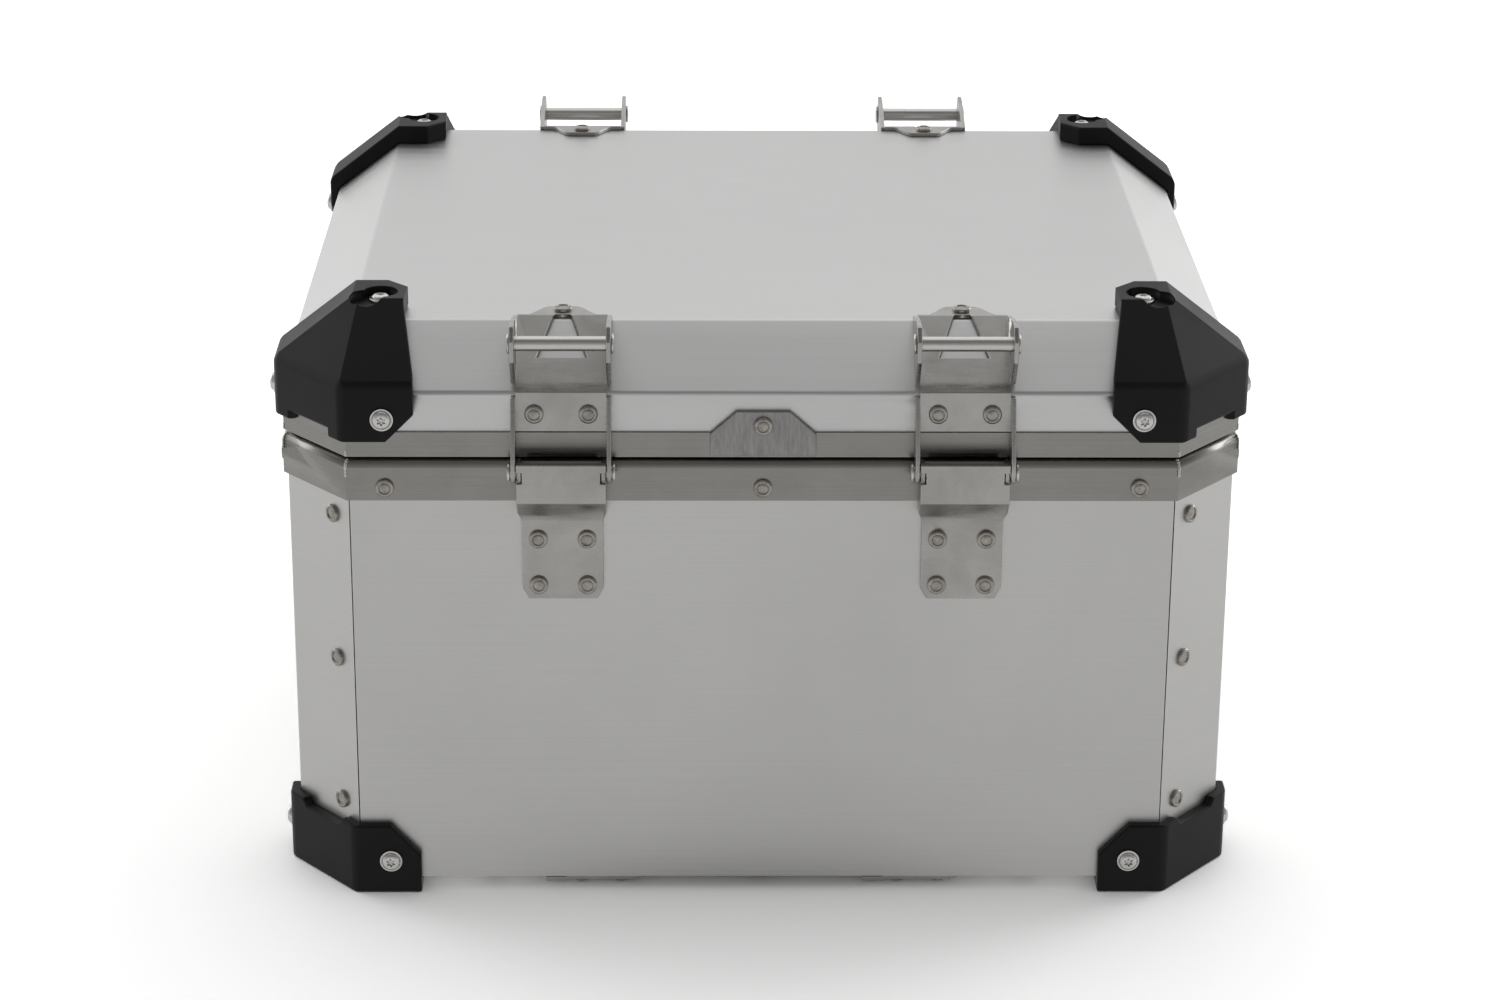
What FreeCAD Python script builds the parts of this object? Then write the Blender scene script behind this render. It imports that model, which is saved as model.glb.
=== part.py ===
import FreeCAD, Part
import math
import os
from FreeCAD import Rotation, Vector

# Aluminium top case for a motorcycle: riveted sheet body, hinged lid with folded brackets and
# tie bars, moulded corner caps, and two lever latches with key locks on the far side.
# Frame: millimetres, +Z up, -Y is the hinge side, +Y is the latch side. The origin is on the
# ground at the centre of the four rack holes.

# ---- driving dimensions -------------------------------------------------------------------
CASE_WIDTH = 410.0      # over the side sheets, along X
CASE_DEPTH = 362.0      # over the front and rear sheets, along Y
CORNER_X = 29.0         # corner flat, measured along the front or rear wall
CORNER_Y = 34.0         # corner flat, measured along a side wall
SHEET = 1.5             # aluminium sheet
FOOT = 6.0              # lower edge of the sheets above the ground
WALL_TOP = FOOT + 193.0
RIM_LOW = FOOT + 178.3
RIM_TOP = FOOT + 197.0
LID_LOW = RIM_TOP + 0.9
FRAME_TOP = FOOT + 208.8
LID_BEND = FOOT + 226.1   # where the lid's skirt turns into the slope
LID_TOP = FOOT + 249.0
SLOPE_IN = 30.0         # how far the slope comes in
RIM_PROUD = 1.8         # body rim outside the sheets
FRAME_PROUD = 1.2       # lid frame outside the lid sheet
CAP_PROUD = 4.5         # moulded caps outside the sheets
CAP_CROWN = 9.0         # upper caps above the lid
CAP_BEND = FOOT + 231.2   # where an upper cap's slopes start
CAP_SEAT = 5.0          # upper cap under its top screw
BEND_RADIUS = 3.0

HALF_X = CASE_WIDTH / 2
HALF_Y = CASE_DEPTH / 2
CORNER = math.hypot(CORNER_X, CORNER_Y)     # width of a corner flat
CAP_SCREW = (41.7 - HALF_X, 40.2 - HALF_Y)  # an upper cap's top screw, at the front left

# Rivets and screws
RIVET_HEAD_R = 4.0
RIVET_SHANK_R = 2.4
SCREW_HEAD_R = 5.0
SCREW_R = 2.5
CLEAR = 0.05            # radial clearance of a fastener or shaft in its hole

# Brackets: one hinge bracket or latch at each side of the middle
BRACKET_X = 85.2
PLATE = 2.0             # steel plate of the brackets
EAR_IN = 19.2           # half the distance between a lid bracket's ears
EAR_OUT = EAR_IN + PLATE
PIVOT_Y = HALF_Y + 7.6  # hinge pins, and catch rods on the far side
PIVOT_Z = FOOT + 193.6
PIN_R = 3.0
EAR_END_R = 5.2
BAR_Y = HALF_Y + 1.7    # tie bars
BAR_Z = LID_TOP - 0.4
BAR_R = 3.15
BASE_HALF = 17.3        # lower plate of the hinge base
CHANNEL_HALF = 18.9     # channel of the hinge base, between the ears
BASE_LOW = FOOT + 133.4
STEP_LOW = FOOT + 169.6
STEP_HIGH = FOOT + 181.4
CHANNEL_TOP = FOOT + 198.6
CHANNEL_Y = HALF_Y + 13.8

# Latch, drawn latched and then turned out to its rest position
LEVER_Y = HALF_Y + 9.5
LEVER_Z = FOOT + 148.0
LEVER_PIN_R = 2.5
LEVER_FACE = HALF_Y + 18.0   # outer face of the lever when latched
LEVER_TOP = FOOT + 211.0
LEVER_HALF = 18.4
LATCH_BASE_HALF = 16.0
REST_OPEN = 11.0        # degrees the levers stand off their latched position
CLAW_HALF = 9.5
CLAW_STEEL = 2.5
CLAW_GAP = 0.6          # between a latched claw and its catch rod
CLAW_RIVET_Z = FOOT + 204.6
LOCK_Z = FOOT + 178.0
LOCK_R = 8.0
PLUG_R = 5.5
CAM_LENGTH = 18.0

# Underside rails
RAIL_X = 70.0
RAIL_HALF = 14.1
RAIL_WING = 10.6        # bent strip along each rail's left edge
RAIL_LENGTH = CASE_DEPTH - 6.0
RAIL_PLATE = 2.4
RAIL_PAD = 1.0          # raised pads between rail and floor, at the rivets
RACK_HOLE_R = 3.3
RACK_BUSH_R = 6.5
RACK_HOLE_Y = 110.0

SLOPE = math.atan2(LID_TOP - LID_BEND, SLOPE_IN)
SIDES = {"left": -1, "right": 1}
ENDS = {"front": -1, "rear": 1}
UP = Vector(0, 0, 1)

nodes = {}


# ---- helpers ------------------------------------------------------------------------------
def plan(inset_x, inset_y, leg_x, leg_y):
    """Eight-sided plan: 0, 1 front right bends, 2, 3 rear right, 4, 5 rear left, 6, 7 front left."""
    hx = HALF_X - inset_x
    hy = HALF_Y - inset_y
    quarter = [(hx - leg_x, -hy), (hx, leg_y - hy)]
    right = quarter + [(x, -y) for x, y in reversed(quarter)]
    return right + [(-x, y) for x, y in reversed(right)]


def outline(inset):
    """The case's own eight-sided plan, moved in by inset."""
    loss = inset * (CORNER_X + CORNER_Y - CORNER)
    return plan(inset, inset, CORNER_X - loss / CORNER_Y, CORNER_Y - loss / CORNER_X)


def face(points):
    """Flat face through the given vectors."""
    return Part.Face(Part.makePolygon(points + [points[0]]))


def prism(points, low, high):
    """Plan outline raised from z low to z high."""
    return face([Vector(x, y, low) for x, y in points]).extrude(Vector(0, 0, high - low))


def slab_x(points, low, high):
    """Side-view outline of (y, z) points, from x low to x high."""
    return face([Vector(low, y, z) for y, z in points]).extrude(Vector(high - low, 0, 0))


def slab_y(points, low, high):
    """Front-view outline of (x, z) points, from y low to y high."""
    return face([Vector(x, low, z) for x, z in points]).extrude(Vector(0, high - low, 0))


def box(x0, x1, y0, y1, z0, z1):
    """Box between two corners."""
    return Part.makeBox(x1 - x0, y1 - y0, z1 - z0, Vector(x0, y0, z0))


def rod_x(radius, x0, x1, y, z):
    """Round bar along X."""
    return Part.makeCylinder(radius, x1 - x0, Vector(x0, y, z), Vector(1, 0, 0))


def rod_y(radius, y0, y1, x, z):
    """Round bar along Y."""
    return Part.makeCylinder(radius, y1 - y0, Vector(x, y0, z), Vector(0, 1, 0))


def fuse(shapes):
    """One solid from touching shapes."""
    return shapes[0].multiFuse(shapes[1:]).removeSplitter()


def mirror_x(shape):
    return shape.mirror(Vector(0, 0, 0), Vector(1, 0, 0))


def mirror_y(shape):
    return shape.mirror(Vector(0, 0, 0), Vector(0, 1, 0))


def to_side(shape, side, end):
    """Shape drawn at the front left, moved to the given side and end by mirroring."""
    if side > 0:
        shape = mirror_x(shape)
    if end > 0:
        shape = mirror_y(shape)
    return shape


def lathe(points):
    """Solid of revolution about local Z through (radius, z) points."""
    return face([Vector(r, 0, z) for r, z in points]).revolve(Vector(0, 0, 0), UP, 360)


def aim(shape, place, outward):
    """Local +Z turned to the outward direction, local origin moved to the place."""
    result = shape.copy()
    result.Placement = FreeCAD.Placement(Vector(*place), Rotation(UP, Vector(*outward)))
    return result


def ring(profile):
    """Closed band around the case: profile is a list of edges drawn in (inset, z)."""
    start = Vector(0, -HALF_Y, 0)
    corners = [Vector(x, y, 0) for x, y in outline(0)]
    spine = Part.makePolygon([start] + corners + [start])
    return Part.Wire(spine).makePipeShell([Part.Wire(profile)], True, False, 1)


def profile_edges(points):
    """Edges of a ring profile: each point is (inset, z), or a pair of points for an arc."""
    edges = []
    here = points[0]
    for target in points[1:] + [points[0]]:
        if len(target) == 2:
            ends = [Vector(0, inset - HALF_Y, z) for inset, z in (here, target)]
            edges.append(Part.makeLine(*ends))
            here = target
        else:
            middle, last = target[:2], target[2:]
            arc = [Vector(0, inset - HALF_Y, z) for inset, z in (here, middle, last)]
            edges.append(Part.Arc(*arc).toShape())
            here = last
    return edges


# ---- fasteners ----------------------------------------------------------------------------
def rivet(grip):
    """Pop rivet: domed head with the sunk mandrel disc, shank, and the set tail."""
    return lathe([(0, -grip - 1.4), (3.4, -grip - 1.4), (3.4, -grip), (RIVET_SHANK_R, -grip),
                  (RIVET_SHANK_R, 0), (RIVET_HEAD_R, 0), (RIVET_HEAD_R, 0.5), (3.3, 1.2),
                  (2.4, 1.5), (2.4, 1.1), (0, 1.1)])


def rivet_hole(place, outward, grip):
    """Clearance hole of a rivet, through everything it grips."""
    hole = Part.makeCylinder(RIVET_SHANK_R + CLEAR, grip + 2, Vector(0, 0, -grip - 1))
    return aim(hole, place, outward)


def screw(length):
    """Button head screw with a flange and a six-lobed socket."""
    body = lathe([(0, -length), (SCREW_R, -length), (SCREW_R, 0), (SCREW_HEAD_R, 0),
                  (SCREW_HEAD_R, 0.8), (4.2, 1.0), (3.4, 2.3), (2.2, 2.8), (0, 2.8)])
    lobes = [Part.makeCylinder(0.55, 2.0, Vector(1.35 * math.cos(a), 1.35 * math.sin(a), 1.2))
             for a in (i * math.pi / 3 for i in range(6))]
    return body.cut(fuse([Part.makeCylinder(1.35, 2.0, Vector(0, 0, 1.2))] + lobes))


def nut():
    """Hexagon nut, seated at local z = 0 and reaching inwards."""
    corners = [Vector(4.6 * math.cos(a), 4.6 * math.sin(a), -4.0)
               for a in (i * math.pi / 3 for i in range(6))]
    return face(corners).extrude(Vector(0, 0, 4.0)).cut(
        Part.makeCylinder(SCREW_R + CLEAR, 6, Vector(0, 0, -5)))


def screw_hole(place, outward, depth):
    """Clearance hole of a screw."""
    return aim(Part.makeCylinder(SCREW_R + CLEAR, depth + 2, Vector(0, 0, -depth - 1)),
               place, outward)


def fasten(name, sheets, places, grip):
    """Rivets through the named sheets, with their holes."""
    shape = rivet(grip)
    holes = Part.makeCompound([rivet_hole(p, d, grip) for p, d in places])
    for sheet in sheets:
        nodes[sheet] = nodes[sheet].cut(holes)
    nodes[name] = Part.makeCompound([aim(shape, p, d) for p, d in places])


# ---- body ---------------------------------------------------------------------------------
def bent(shape, outer, inner):
    """Sheet with its upright bends rounded at the given outer and inner plan corners."""
    for corners, radius in ((outer, BEND_RADIUS), (inner, BEND_RADIUS - SHEET)):
        edges = []
        for edge in shape.Edges:
            low = edge.BoundBox
            upright = low.XLength < 0.01 and low.YLength < 0.01
            if upright and any(math.dist((low.XMin, low.YMin), c) < 0.05 for c in corners):
                edges.append(edge)
        shape = shape.makeFillet(radius, edges)
    return shape


def build_walls():
    """Side sheets wrap the corners; front and rear sheets have flanges tucked behind them."""
    skin = outline(0)
    inner = outline(SHEET)
    tucked = outline(2 * SHEET)
    seam = 0.5
    wrap = [skin[7], skin[6], skin[5], skin[4], inner[4], inner[5], inner[6], inner[7]]
    flange_fold = 13.0
    end = HALF_Y - CORNER_Y
    hem = [(-HALF_X + SHEET, 4 - end), (-HALF_X + flange_fold, 16 - end),
           (-HALF_X + flange_fold, end - 16), (-HALF_X + SHEET, end - 4)]
    wall = bent(prism(wrap, FOOT, WALL_TOP), skin[5:7], inner[5:7])
    side = fuse([wall, prism(hem, FOOT, FOOT + SHEET)])
    nodes["left_panel"] = side
    nodes["right_panel"] = mirror_x(side)

    reach = 20.0 / CORNER
    dx = -reach * CORNER_X
    dy = reach * CORNER_Y
    vx, vy = inner[7]
    tx, ty = tucked[7]
    half = [(skin[7][0] + seam, -HALF_Y), (vx, vy), (vx + dx, vy + dy), (tx + dx, ty + dy),
            (tx, ty), (tx + 4, ty), (tx + 5.5, vy)]
    front = prism(half + [(-x, y) for x, y in reversed(half)], FOOT, WALL_TOP)
    fold = HALF_Y - flange_fold
    end = HALF_X - CORNER_X - 4
    apron = [(-end, SHEET - HALF_Y), (12 - end, -fold), (end - 12, -fold),
             (end, SHEET - HALF_Y)]
    front = fuse([front, prism(apron, FOOT, FOOT + SHEET)])
    nodes["front_panel"] = front
    nodes["rear_panel"] = mirror_y(front)
    nodes["floor_sheet"] = prism(outline(2 * SHEET + 0.2), FOOT + SHEET, FOOT + 2 * SHEET)


def build_rim():
    """Rounded rim on the walls' upper edge, mitred at the corners."""
    r = 4.5
    shoulder = RIM_TOP - r
    centre = r - RIM_PROUD
    mid = (centre - r * math.cos(math.pi / 4), shoulder + r * math.sin(math.pi / 4))
    slot = 2 * SHEET + 0.1
    points = [(-RIM_PROUD, RIM_LOW), (-RIM_PROUD, shoulder), mid + (centre, RIM_TOP),
              (11.0, RIM_TOP), (11.0, RIM_TOP - 1.8), (slot + 1.8, RIM_TOP - 1.8),
              (slot + 1.8, RIM_LOW + 4), (slot, RIM_LOW + 4), (slot, WALL_TOP + 0.3),
              (0, WALL_TOP + 0.3), (0, RIM_LOW)]
    nodes["body_rim"] = ring(profile_edges(points))


def lower_cap():
    """Moulded corner foot, drawn at the front left."""
    reach = 56.0
    top = FOOT + 26.3
    shell = prism(outline(-CAP_PROUD), 0, top)
    shell = shell.cut(prism(outline(0), FOOT, top + 1))
    edge_x = reach - HALF_X
    edge_y = reach - HALF_Y
    corner = 14.0
    region = [(-HALF_X - 9, -HALF_Y - 9), (edge_x, -HALF_Y - 9), (edge_x, edge_y - corner),
              (edge_x - corner, edge_y), (-HALF_X - 9, edge_y)]
    cap = shell.common(prism(region, 0, top))
    wedge = [(edge_x + 1, FOOT + 11), (edge_x + 1, top + 1), (edge_x - 14, top + 1)]
    cap = cap.cut(slab_y(wedge, -HALF_Y - 9, -HALF_Y + 9))
    wedge = [(edge_y + 1, FOOT + 11), (edge_y + 1, top + 1), (edge_y - 14, top + 1)]
    cap = cap.cut(slab_x(wedge, -HALF_X - 9, -HALF_X + 9))
    # the upper edge dips between the bends of the corner flat
    dip = 3.2
    half = CORNER / 2 - 7.5
    middle = Vector(-HALF_X + CORNER_X / 2, -HALF_Y + CORNER_Y / 2, top)
    trough = slab_y([(-half, 1), (-half + 3, -dip), (half - 3, -dip), (half, 1)], -9, 9)
    trough.rotate(Vector(0, 0, 0), UP, -math.degrees(math.atan2(CORNER_Y, CORNER_X)))
    return cap.cut(trough.translated(middle))


def build_lower_caps():
    """Four feet, each with a screw on both faces."""
    seat = 42.8
    height = FOOT + 9.9
    places = [((seat - HALF_X, -HALF_Y - CAP_PROUD, height), (0, -1, 0)),
              ((-HALF_X - CAP_PROUD, seat - HALF_Y, height), (-1, 0, 0))]
    holes = [screw_hole(p, d, CAP_PROUD + SHEET) for p, d in places]
    cap = lower_cap().cut(Part.makeCompound(holes))
    screws = [aim(screw(CAP_PROUD + SHEET + 5), p, d) for p, d in places]
    depth = CAP_PROUD + SHEET
    seats = [Vector(*p) - Vector(*d) * depth for p, d in places]
    nuts = [aim(nut(), tuple(s), d) for s, (p, d) in zip(seats, places)]
    all_screws = []
    all_nuts = []
    for end_name, end in ENDS.items():
        for side_name, side in SIDES.items():
            nodes["lower_cap_%s_%s" % (end_name, side_name)] = to_side(cap, side, end)
            cut = Part.makeCompound([to_side(h, side, end) for h in holes])
            for wall in (end_name + "_panel", side_name + "_panel"):
                nodes[wall] = nodes[wall].cut(cut)
            all_screws += [to_side(s, side, end) for s in screws]
            all_nuts += [to_side(n, side, end) for n in nuts]
    nodes["lower_cap_screws"] = Part.makeCompound(all_screws)
    nodes["lower_cap_nuts"] = Part.makeCompound(all_nuts)


def build_body_rivets():
    """Three rivets down each corner seam, and three along each side of the rim."""
    along = 0.26            # share of the corner flat's width, from the seam
    corner = []
    for sx in SIDES.values():
        for sy in ENDS.values():
            x = sx * (HALF_X - CORNER_X + along * CORNER_X)
            y = sy * (HALF_Y - along * CORNER_Y)
            outward = (sx * CORNER_Y / CORNER, sy * CORNER_X / CORNER, 0)
            for z in (FOOT + 33.8, FOOT + 101.6, FOOT + 168.6):
                corner.append(((x, y, z), outward))
    fasten("corner_rivets", ["left_panel", "right_panel", "front_panel", "rear_panel"],
           corner, 2 * SHEET)
    rim = []
    height = RIM_LOW + 5.9
    from_end = 44.6
    for sign in (-1, 1):
        for share in (-1, 0, 1):
            x = share * (HALF_X - from_end)
            y = share * (HALF_Y - from_end)
            rim.append(((x, sign * (HALF_Y + RIM_PROUD), height), (0, sign, 0)))
            rim.append(((sign * (HALF_X + RIM_PROUD), y, height), (sign, 0, 0)))
    walls = ["body_rim", "left_panel", "right_panel", "front_panel", "rear_panel"]
    fasten("rim_rivets", walls, rim, RIM_PROUD + 2 * SHEET + 0.1 + 1.8)
    floor = []
    for sign in (-1, 1):
        for place in (-118.0, 0, 118.0):
            floor.append(((place, sign * (HALF_Y - 8), FOOT), (0, 0, -1)))
            floor.append(((sign * (HALF_X - 8), place, FOOT), (0, 0, -1)))
    fasten("floor_rivets", walls[1:] + ["floor_sheet"], floor, 2 * SHEET)


def build_rails():
    """Steel rails under the floor, with bushes at the rack holes and pads at the rivets."""
    high = FOOT - RAIL_PAD
    low = high - RAIL_PLATE
    drop = 0.8
    section = [(-RAIL_HALF - RAIL_WING, low - drop), (-RAIL_HALF - 2, low - drop),
               (-RAIL_HALF, low), (RAIL_HALF, low), (RAIL_HALF + 3.4, low + drop),
               (RAIL_HALF + 3.4, low + drop + 1), (RAIL_HALF, high), (-RAIL_HALF, high),
               (-RAIL_HALF - 2, high - drop), (-RAIL_HALF - RAIL_WING, high - drop)]
    rail = slab_y(section, -RAIL_LENGTH / 2, RAIL_LENGTH / 2)
    across = 8.8
    end_y = HALF_Y - 8.5
    extra = []
    holes = []
    for y in (-RACK_HOLE_Y, RACK_HOLE_Y):
        extra.append(Part.makeCylinder(RACK_BUSH_R, high, Vector(0, y, 0)))
        holes.append(Part.makeCylinder(RACK_HOLE_R, FOOT + 9, Vector(0, y, -2)))
    for y in (-end_y, end_y):
        for x in (-across, across):
            extra.append(Part.makeCylinder(4.5, RAIL_PLATE, Vector(x, y, high - 1.4)))
    bores = Part.makeCompound(holes)
    rail = fuse([rail] + extra).cut(bores)
    places = []
    for name, side in SIDES.items():
        shift = Vector(side * RAIL_X, 0, 0)
        nodes["rack_rail_" + name] = rail.translated(shift)
        nodes["floor_sheet"] = nodes["floor_sheet"].cut(bores.translated(shift))
        for y in (-end_y, end_y):
            for x in (-across, across):
                places.append(((side * RAIL_X + x, y, low), (0, 0, -1)))
    sheets = ["rack_rail_left", "rack_rail_right", "front_panel", "rear_panel", "floor_sheet"]
    fasten("rail_rivets", sheets, places, RAIL_PAD + RAIL_PLATE + 2 * SHEET)


# ---- lid ----------------------------------------------------------------------------------
def lid_block(out, low, top):
    """Solid lid outline moved out by a distance, from z low to z top."""
    bend = LID_BEND - math.tan(SLOPE) * out + out / math.cos(SLOPE)
    inset = (top - LID_BEND - out / math.cos(SLOPE)) / math.tan(SLOPE)
    levels = [(-out, low), (-out, bend), (inset, top)]
    wires = [Part.makePolygon([Vector(x, y, z) for x, y in outline(i) + outline(i)[:1]])
             for i, z in levels]
    return Part.makeLoft(wires, True, True)


def rounded(shape, radius, levels):
    """Shape with its level edges rounded where the sheet is bent."""
    edges = []
    for edge in shape.Edges:
        bounds = edge.BoundBox
        if bounds.ZLength < 0.01 and any(abs(bounds.ZMin - z) < 0.2 for z in levels):
            edges.append(edge)
    return shape.makeFillet(radius, edges)


def build_lid():
    """Lid sheet, its frame with the riveted joint plates, and the seal."""
    outer = rounded(lid_block(0, LID_LOW + 1.8, LID_TOP), BEND_RADIUS, [LID_BEND, LID_TOP])
    inner = lid_block(-SHEET, LID_LOW, LID_TOP - SHEET)
    nodes["lid_sheet"] = outer.cut(inner)
    leg = 1.5
    points = [(-FRAME_PROUD, LID_LOW), (-FRAME_PROUD, FRAME_TOP), (0, FRAME_TOP),
              (0, LID_LOW + 1.7), (SHEET, LID_LOW + 1.7), (SHEET, FRAME_TOP),
              (SHEET + leg, FRAME_TOP), (SHEET + leg, LID_LOW + 5.4), (11.0, LID_LOW + 5.4),
              (11.0, LID_LOW + 0.4), (9.6, LID_LOW + 0.4), (9.6, LID_LOW + 4.0),
              (4.6, LID_LOW + 4.0), (4.6, LID_LOW)]
    frame = ring(profile_edges(points))
    nodes["lid_frame"] = frame
    seal = [(4.8, LID_LOW + 3.9), (9.4, LID_LOW + 3.9), (9.4, LID_LOW + 1.6),
            (8.8, LID_LOW - 0.1, 7.1, LID_LOW - 0.55), (5.4, LID_LOW - 0.1, 4.8, LID_LOW + 1.6)]
    nodes["lid_seal"] = ring(profile_edges(seal))
    plate = [(-22.5, FRAME_TOP - 0.3), (22.5, FRAME_TOP - 0.3), (11.4, FRAME_TOP + 9.6),
             (-11.4, FRAME_TOP + 9.6)]
    across = [(-22.5, LID_LOW + 1), (22.5, LID_LOW + 1), (22.5, FRAME_TOP - 0.3),
              (-22.5, FRAME_TOP - 0.3)]
    thick = 1.0
    skin = -HALF_Y - FRAME_PROUD
    tab = fuse([slab_y(plate, skin - thick, skin), slab_y(across, skin - thick, skin)])
    spacer = slab_y([(x * 0.96, max(z, FRAME_TOP)) for x, z in plate], skin, -HALF_Y)
    tab = fuse([tab, spacer])
    for name, end in ENDS.items():
        nodes["joint_plate_" + name] = to_side(tab, -1, end)
    places = [((0, end * (HALF_Y + FRAME_PROUD + thick), FRAME_TOP + 3.5), (0, end, 0))
              for end in ENDS.values()]
    fasten("joint_plate_rivets", ["joint_plate_front", "joint_plate_rear", "lid_sheet"],
           places, thick + FRAME_PROUD + SHEET)


def upper_cap():
    """Faceted moulded cap over a lid corner, drawn at the front left."""
    low = FRAME_TOP - 3.5
    crown = LID_TOP + CAP_CROWN
    foot_plan = outline(-CAP_PROUD)
    crown_plan = plan(30.0, 30.5, 3.0, 3.0)
    levels = [(foot_plan, low), (foot_plan, CAP_BEND), (crown_plan, crown)]
    wires = [Part.makePolygon([Vector(x, y, z) for x, y in points + points[:1]])
             for points, z in levels]
    shell = Part.makeLoft(wires, True, True)
    shell = shell.cut(lid_block(0, low - 1, LID_TOP))
    shell = shell.cut(prism(outline(-FRAME_PROUD - 0.05), low - 1, FRAME_TOP + 0.1))
    front_end = 57.6 - HALF_X
    top_end = 52.3 - HALF_X
    side_end = 57.0 - HALF_Y
    region = [(-HALF_X - 9, -HALF_Y - 9), (front_end, -HALF_Y - 9), (front_end, -HALF_Y),
              (top_end, -HALF_Y + SLOPE_IN), (top_end + 0.6, side_end - 9),
              (top_end - 8, side_end), (-HALF_X - 9, side_end)]
    cap = shell.common(prism(region, low, crown + 1))
    wedge = [(front_end + 1, low + 13), (front_end + 1, low - 1), (front_end - 13, low - 1)]
    cap = cap.cut(slab_y(wedge, -HALF_Y - 9, -HALF_Y + 9))
    wedge = [(side_end + 1, low + 13), (side_end + 1, low - 1), (side_end - 13, low - 1)]
    cap = cap.cut(slab_x(wedge, -HALF_X - 9, -HALF_X + 9))
    # over the corner flat the cap stops at the lid frame
    cap = cap.cut(box(-HALF_X - 9, 21 - HALF_X, -HALF_Y - 9, 25 - HALF_Y, low - 1,
                      FRAME_TOP + 0.6))
    x, y = CAP_SCREW
    pocket = [Part.makeCylinder(7.5, CAP_CROWN, Vector(x - out, y - out, LID_TOP + CAP_SEAT))
              for out in (0, 5.5)]
    return cap.cut(fuse(pocket))


def build_upper_caps():
    """Four lid caps, each with a screw in the top pocket and one on the end face."""
    height = FRAME_TOP + 7.0
    places = [(CAP_SCREW + (LID_TOP + CAP_SEAT,), (0, 0, 1), CAP_SEAT),
              ((44.4 - HALF_X, -HALF_Y - CAP_PROUD, height), (0, -1, 0), CAP_PROUD),
              ((-HALF_X - CAP_PROUD, 44.4 - HALF_Y, height), (-1, 0, 0), CAP_PROUD)]
    holes = [screw_hole(p, d, thick + SHEET) for p, d, thick in places]
    cap = upper_cap().cut(Part.makeCompound(holes))
    screws = [aim(screw(thick + SHEET + 5), p, d) for p, d, thick in places]
    seats = [Vector(*p) - Vector(*d) * (thick + SHEET) for p, d, thick in places]
    nuts = [aim(nut(), tuple(s), d) for s, (p, d, thick) in zip(seats, places)]
    all_screws = []
    all_nuts = []
    for end_name, end in ENDS.items():
        for side_name, side in SIDES.items():
            nodes["upper_cap_%s_%s" % (end_name, side_name)] = to_side(cap, side, end)
            cut = Part.makeCompound([to_side(h, side, end) for h in holes])
            nodes["lid_sheet"] = nodes["lid_sheet"].cut(cut)
            all_screws += [to_side(s, side, end) for s in screws]
            all_nuts += [to_side(n, side, end) for n in nuts]
    nodes["upper_cap_screws"] = Part.makeCompound(all_screws)
    nodes["upper_cap_nuts"] = Part.makeCompound(all_nuts)


# ---- lid brackets, hinges and catches -----------------------------------------------------
def lid_bracket():
    """Folded bracket over the lid's front edge, drawn at the front about x = 0."""
    t = PLATE
    bend_out = LID_BEND - math.tan(SLOPE) * t + t / math.cos(SLOPE)
    top_out = (LID_TOP + t - LID_BEND - t / math.cos(SLOPE)) / math.tan(SLOPE)
    tail = 41.8 - HALF_Y
    section = [(-HALF_Y, FRAME_TOP + 0.6), (-HALF_Y, LID_BEND), (SLOPE_IN - HALF_Y, LID_TOP),
               (tail, LID_TOP), (tail, LID_TOP + t), (top_out - HALF_Y, LID_TOP + t),
               (-HALF_Y - t, bend_out), (-HALF_Y - t, FRAME_TOP + 0.6)]
    strap = slab_x(section, -EAR_IN, EAR_IN)
    # plan of the strap: full width up to the upper bend, then a tapering tongue
    shoulder = SLOPE_IN - HALF_Y + 1.0
    outer = [(-EAR_IN, -HALF_Y - 9), (-EAR_IN, shoulder), (-14.5, shoulder),
             (-12.4, shoulder + 2.5), (-8.8, tail - 2.2), (-6.4, tail)]
    keep = outer + [(-x, y) for x, y in reversed(outer)]
    strap = strap.common(prism(keep, FOOT, LID_TOP + 9))
    window = [(-10.7, -HALF_Y + 12.2), (-3.2, shoulder), (3.2, shoulder),
              (10.7, -HALF_Y + 12.2)]
    strap = strap.cut(prism(window, FOOT, LID_TOP + 9))
    # lower ear down to the pin, upper ear around the tie bar
    near = -HALF_Y - t - 0.4
    lower = [(-HALF_Y, LID_BEND - 1), (-HALF_Y, FRAME_TOP + 0.6), (near, FRAME_TOP - 0.6),
             (near, PIVOT_Z), (-PIVOT_Y - EAR_END_R, PIVOT_Z), (-PIVOT_Y - EAR_END_R, PIVOT_Z + 8),
             (-HALF_Y - t - 1.5, LID_BEND - 1)]
    upper = [(-HALF_Y + 1.5, LID_BEND + 3.6), (-BAR_Y - 7.3, BAR_Z - 6), (-BAR_Y - 7.6, BAR_Z + 3),
             (-BAR_Y - 3.5, BAR_Z + 8.6), (-BAR_Y + 5, BAR_Z + 8.6),
             (SLOPE_IN - HALF_Y + 0.5, LID_TOP + 1.6), (SLOPE_IN - HALF_Y, LID_TOP)]
    ears = []
    for x in (-EAR_OUT, EAR_IN):
        ears.append(fuse([slab_x(lower, x, x + t),
                          rod_x(EAR_END_R, x, x + t, -PIVOT_Y, PIVOT_Z)]))
        ears.append(slab_x(upper, x, x + t))
    bracket = fuse([strap] + ears)
    bores = [rod_x(PIN_R + CLEAR, -30, 30, -PIVOT_Y, PIVOT_Z),
             rod_x(BAR_R + CLEAR, -30, 30, -BAR_Y, BAR_Z)]
    return bracket.cut(Part.makeCompound(bores))


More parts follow.
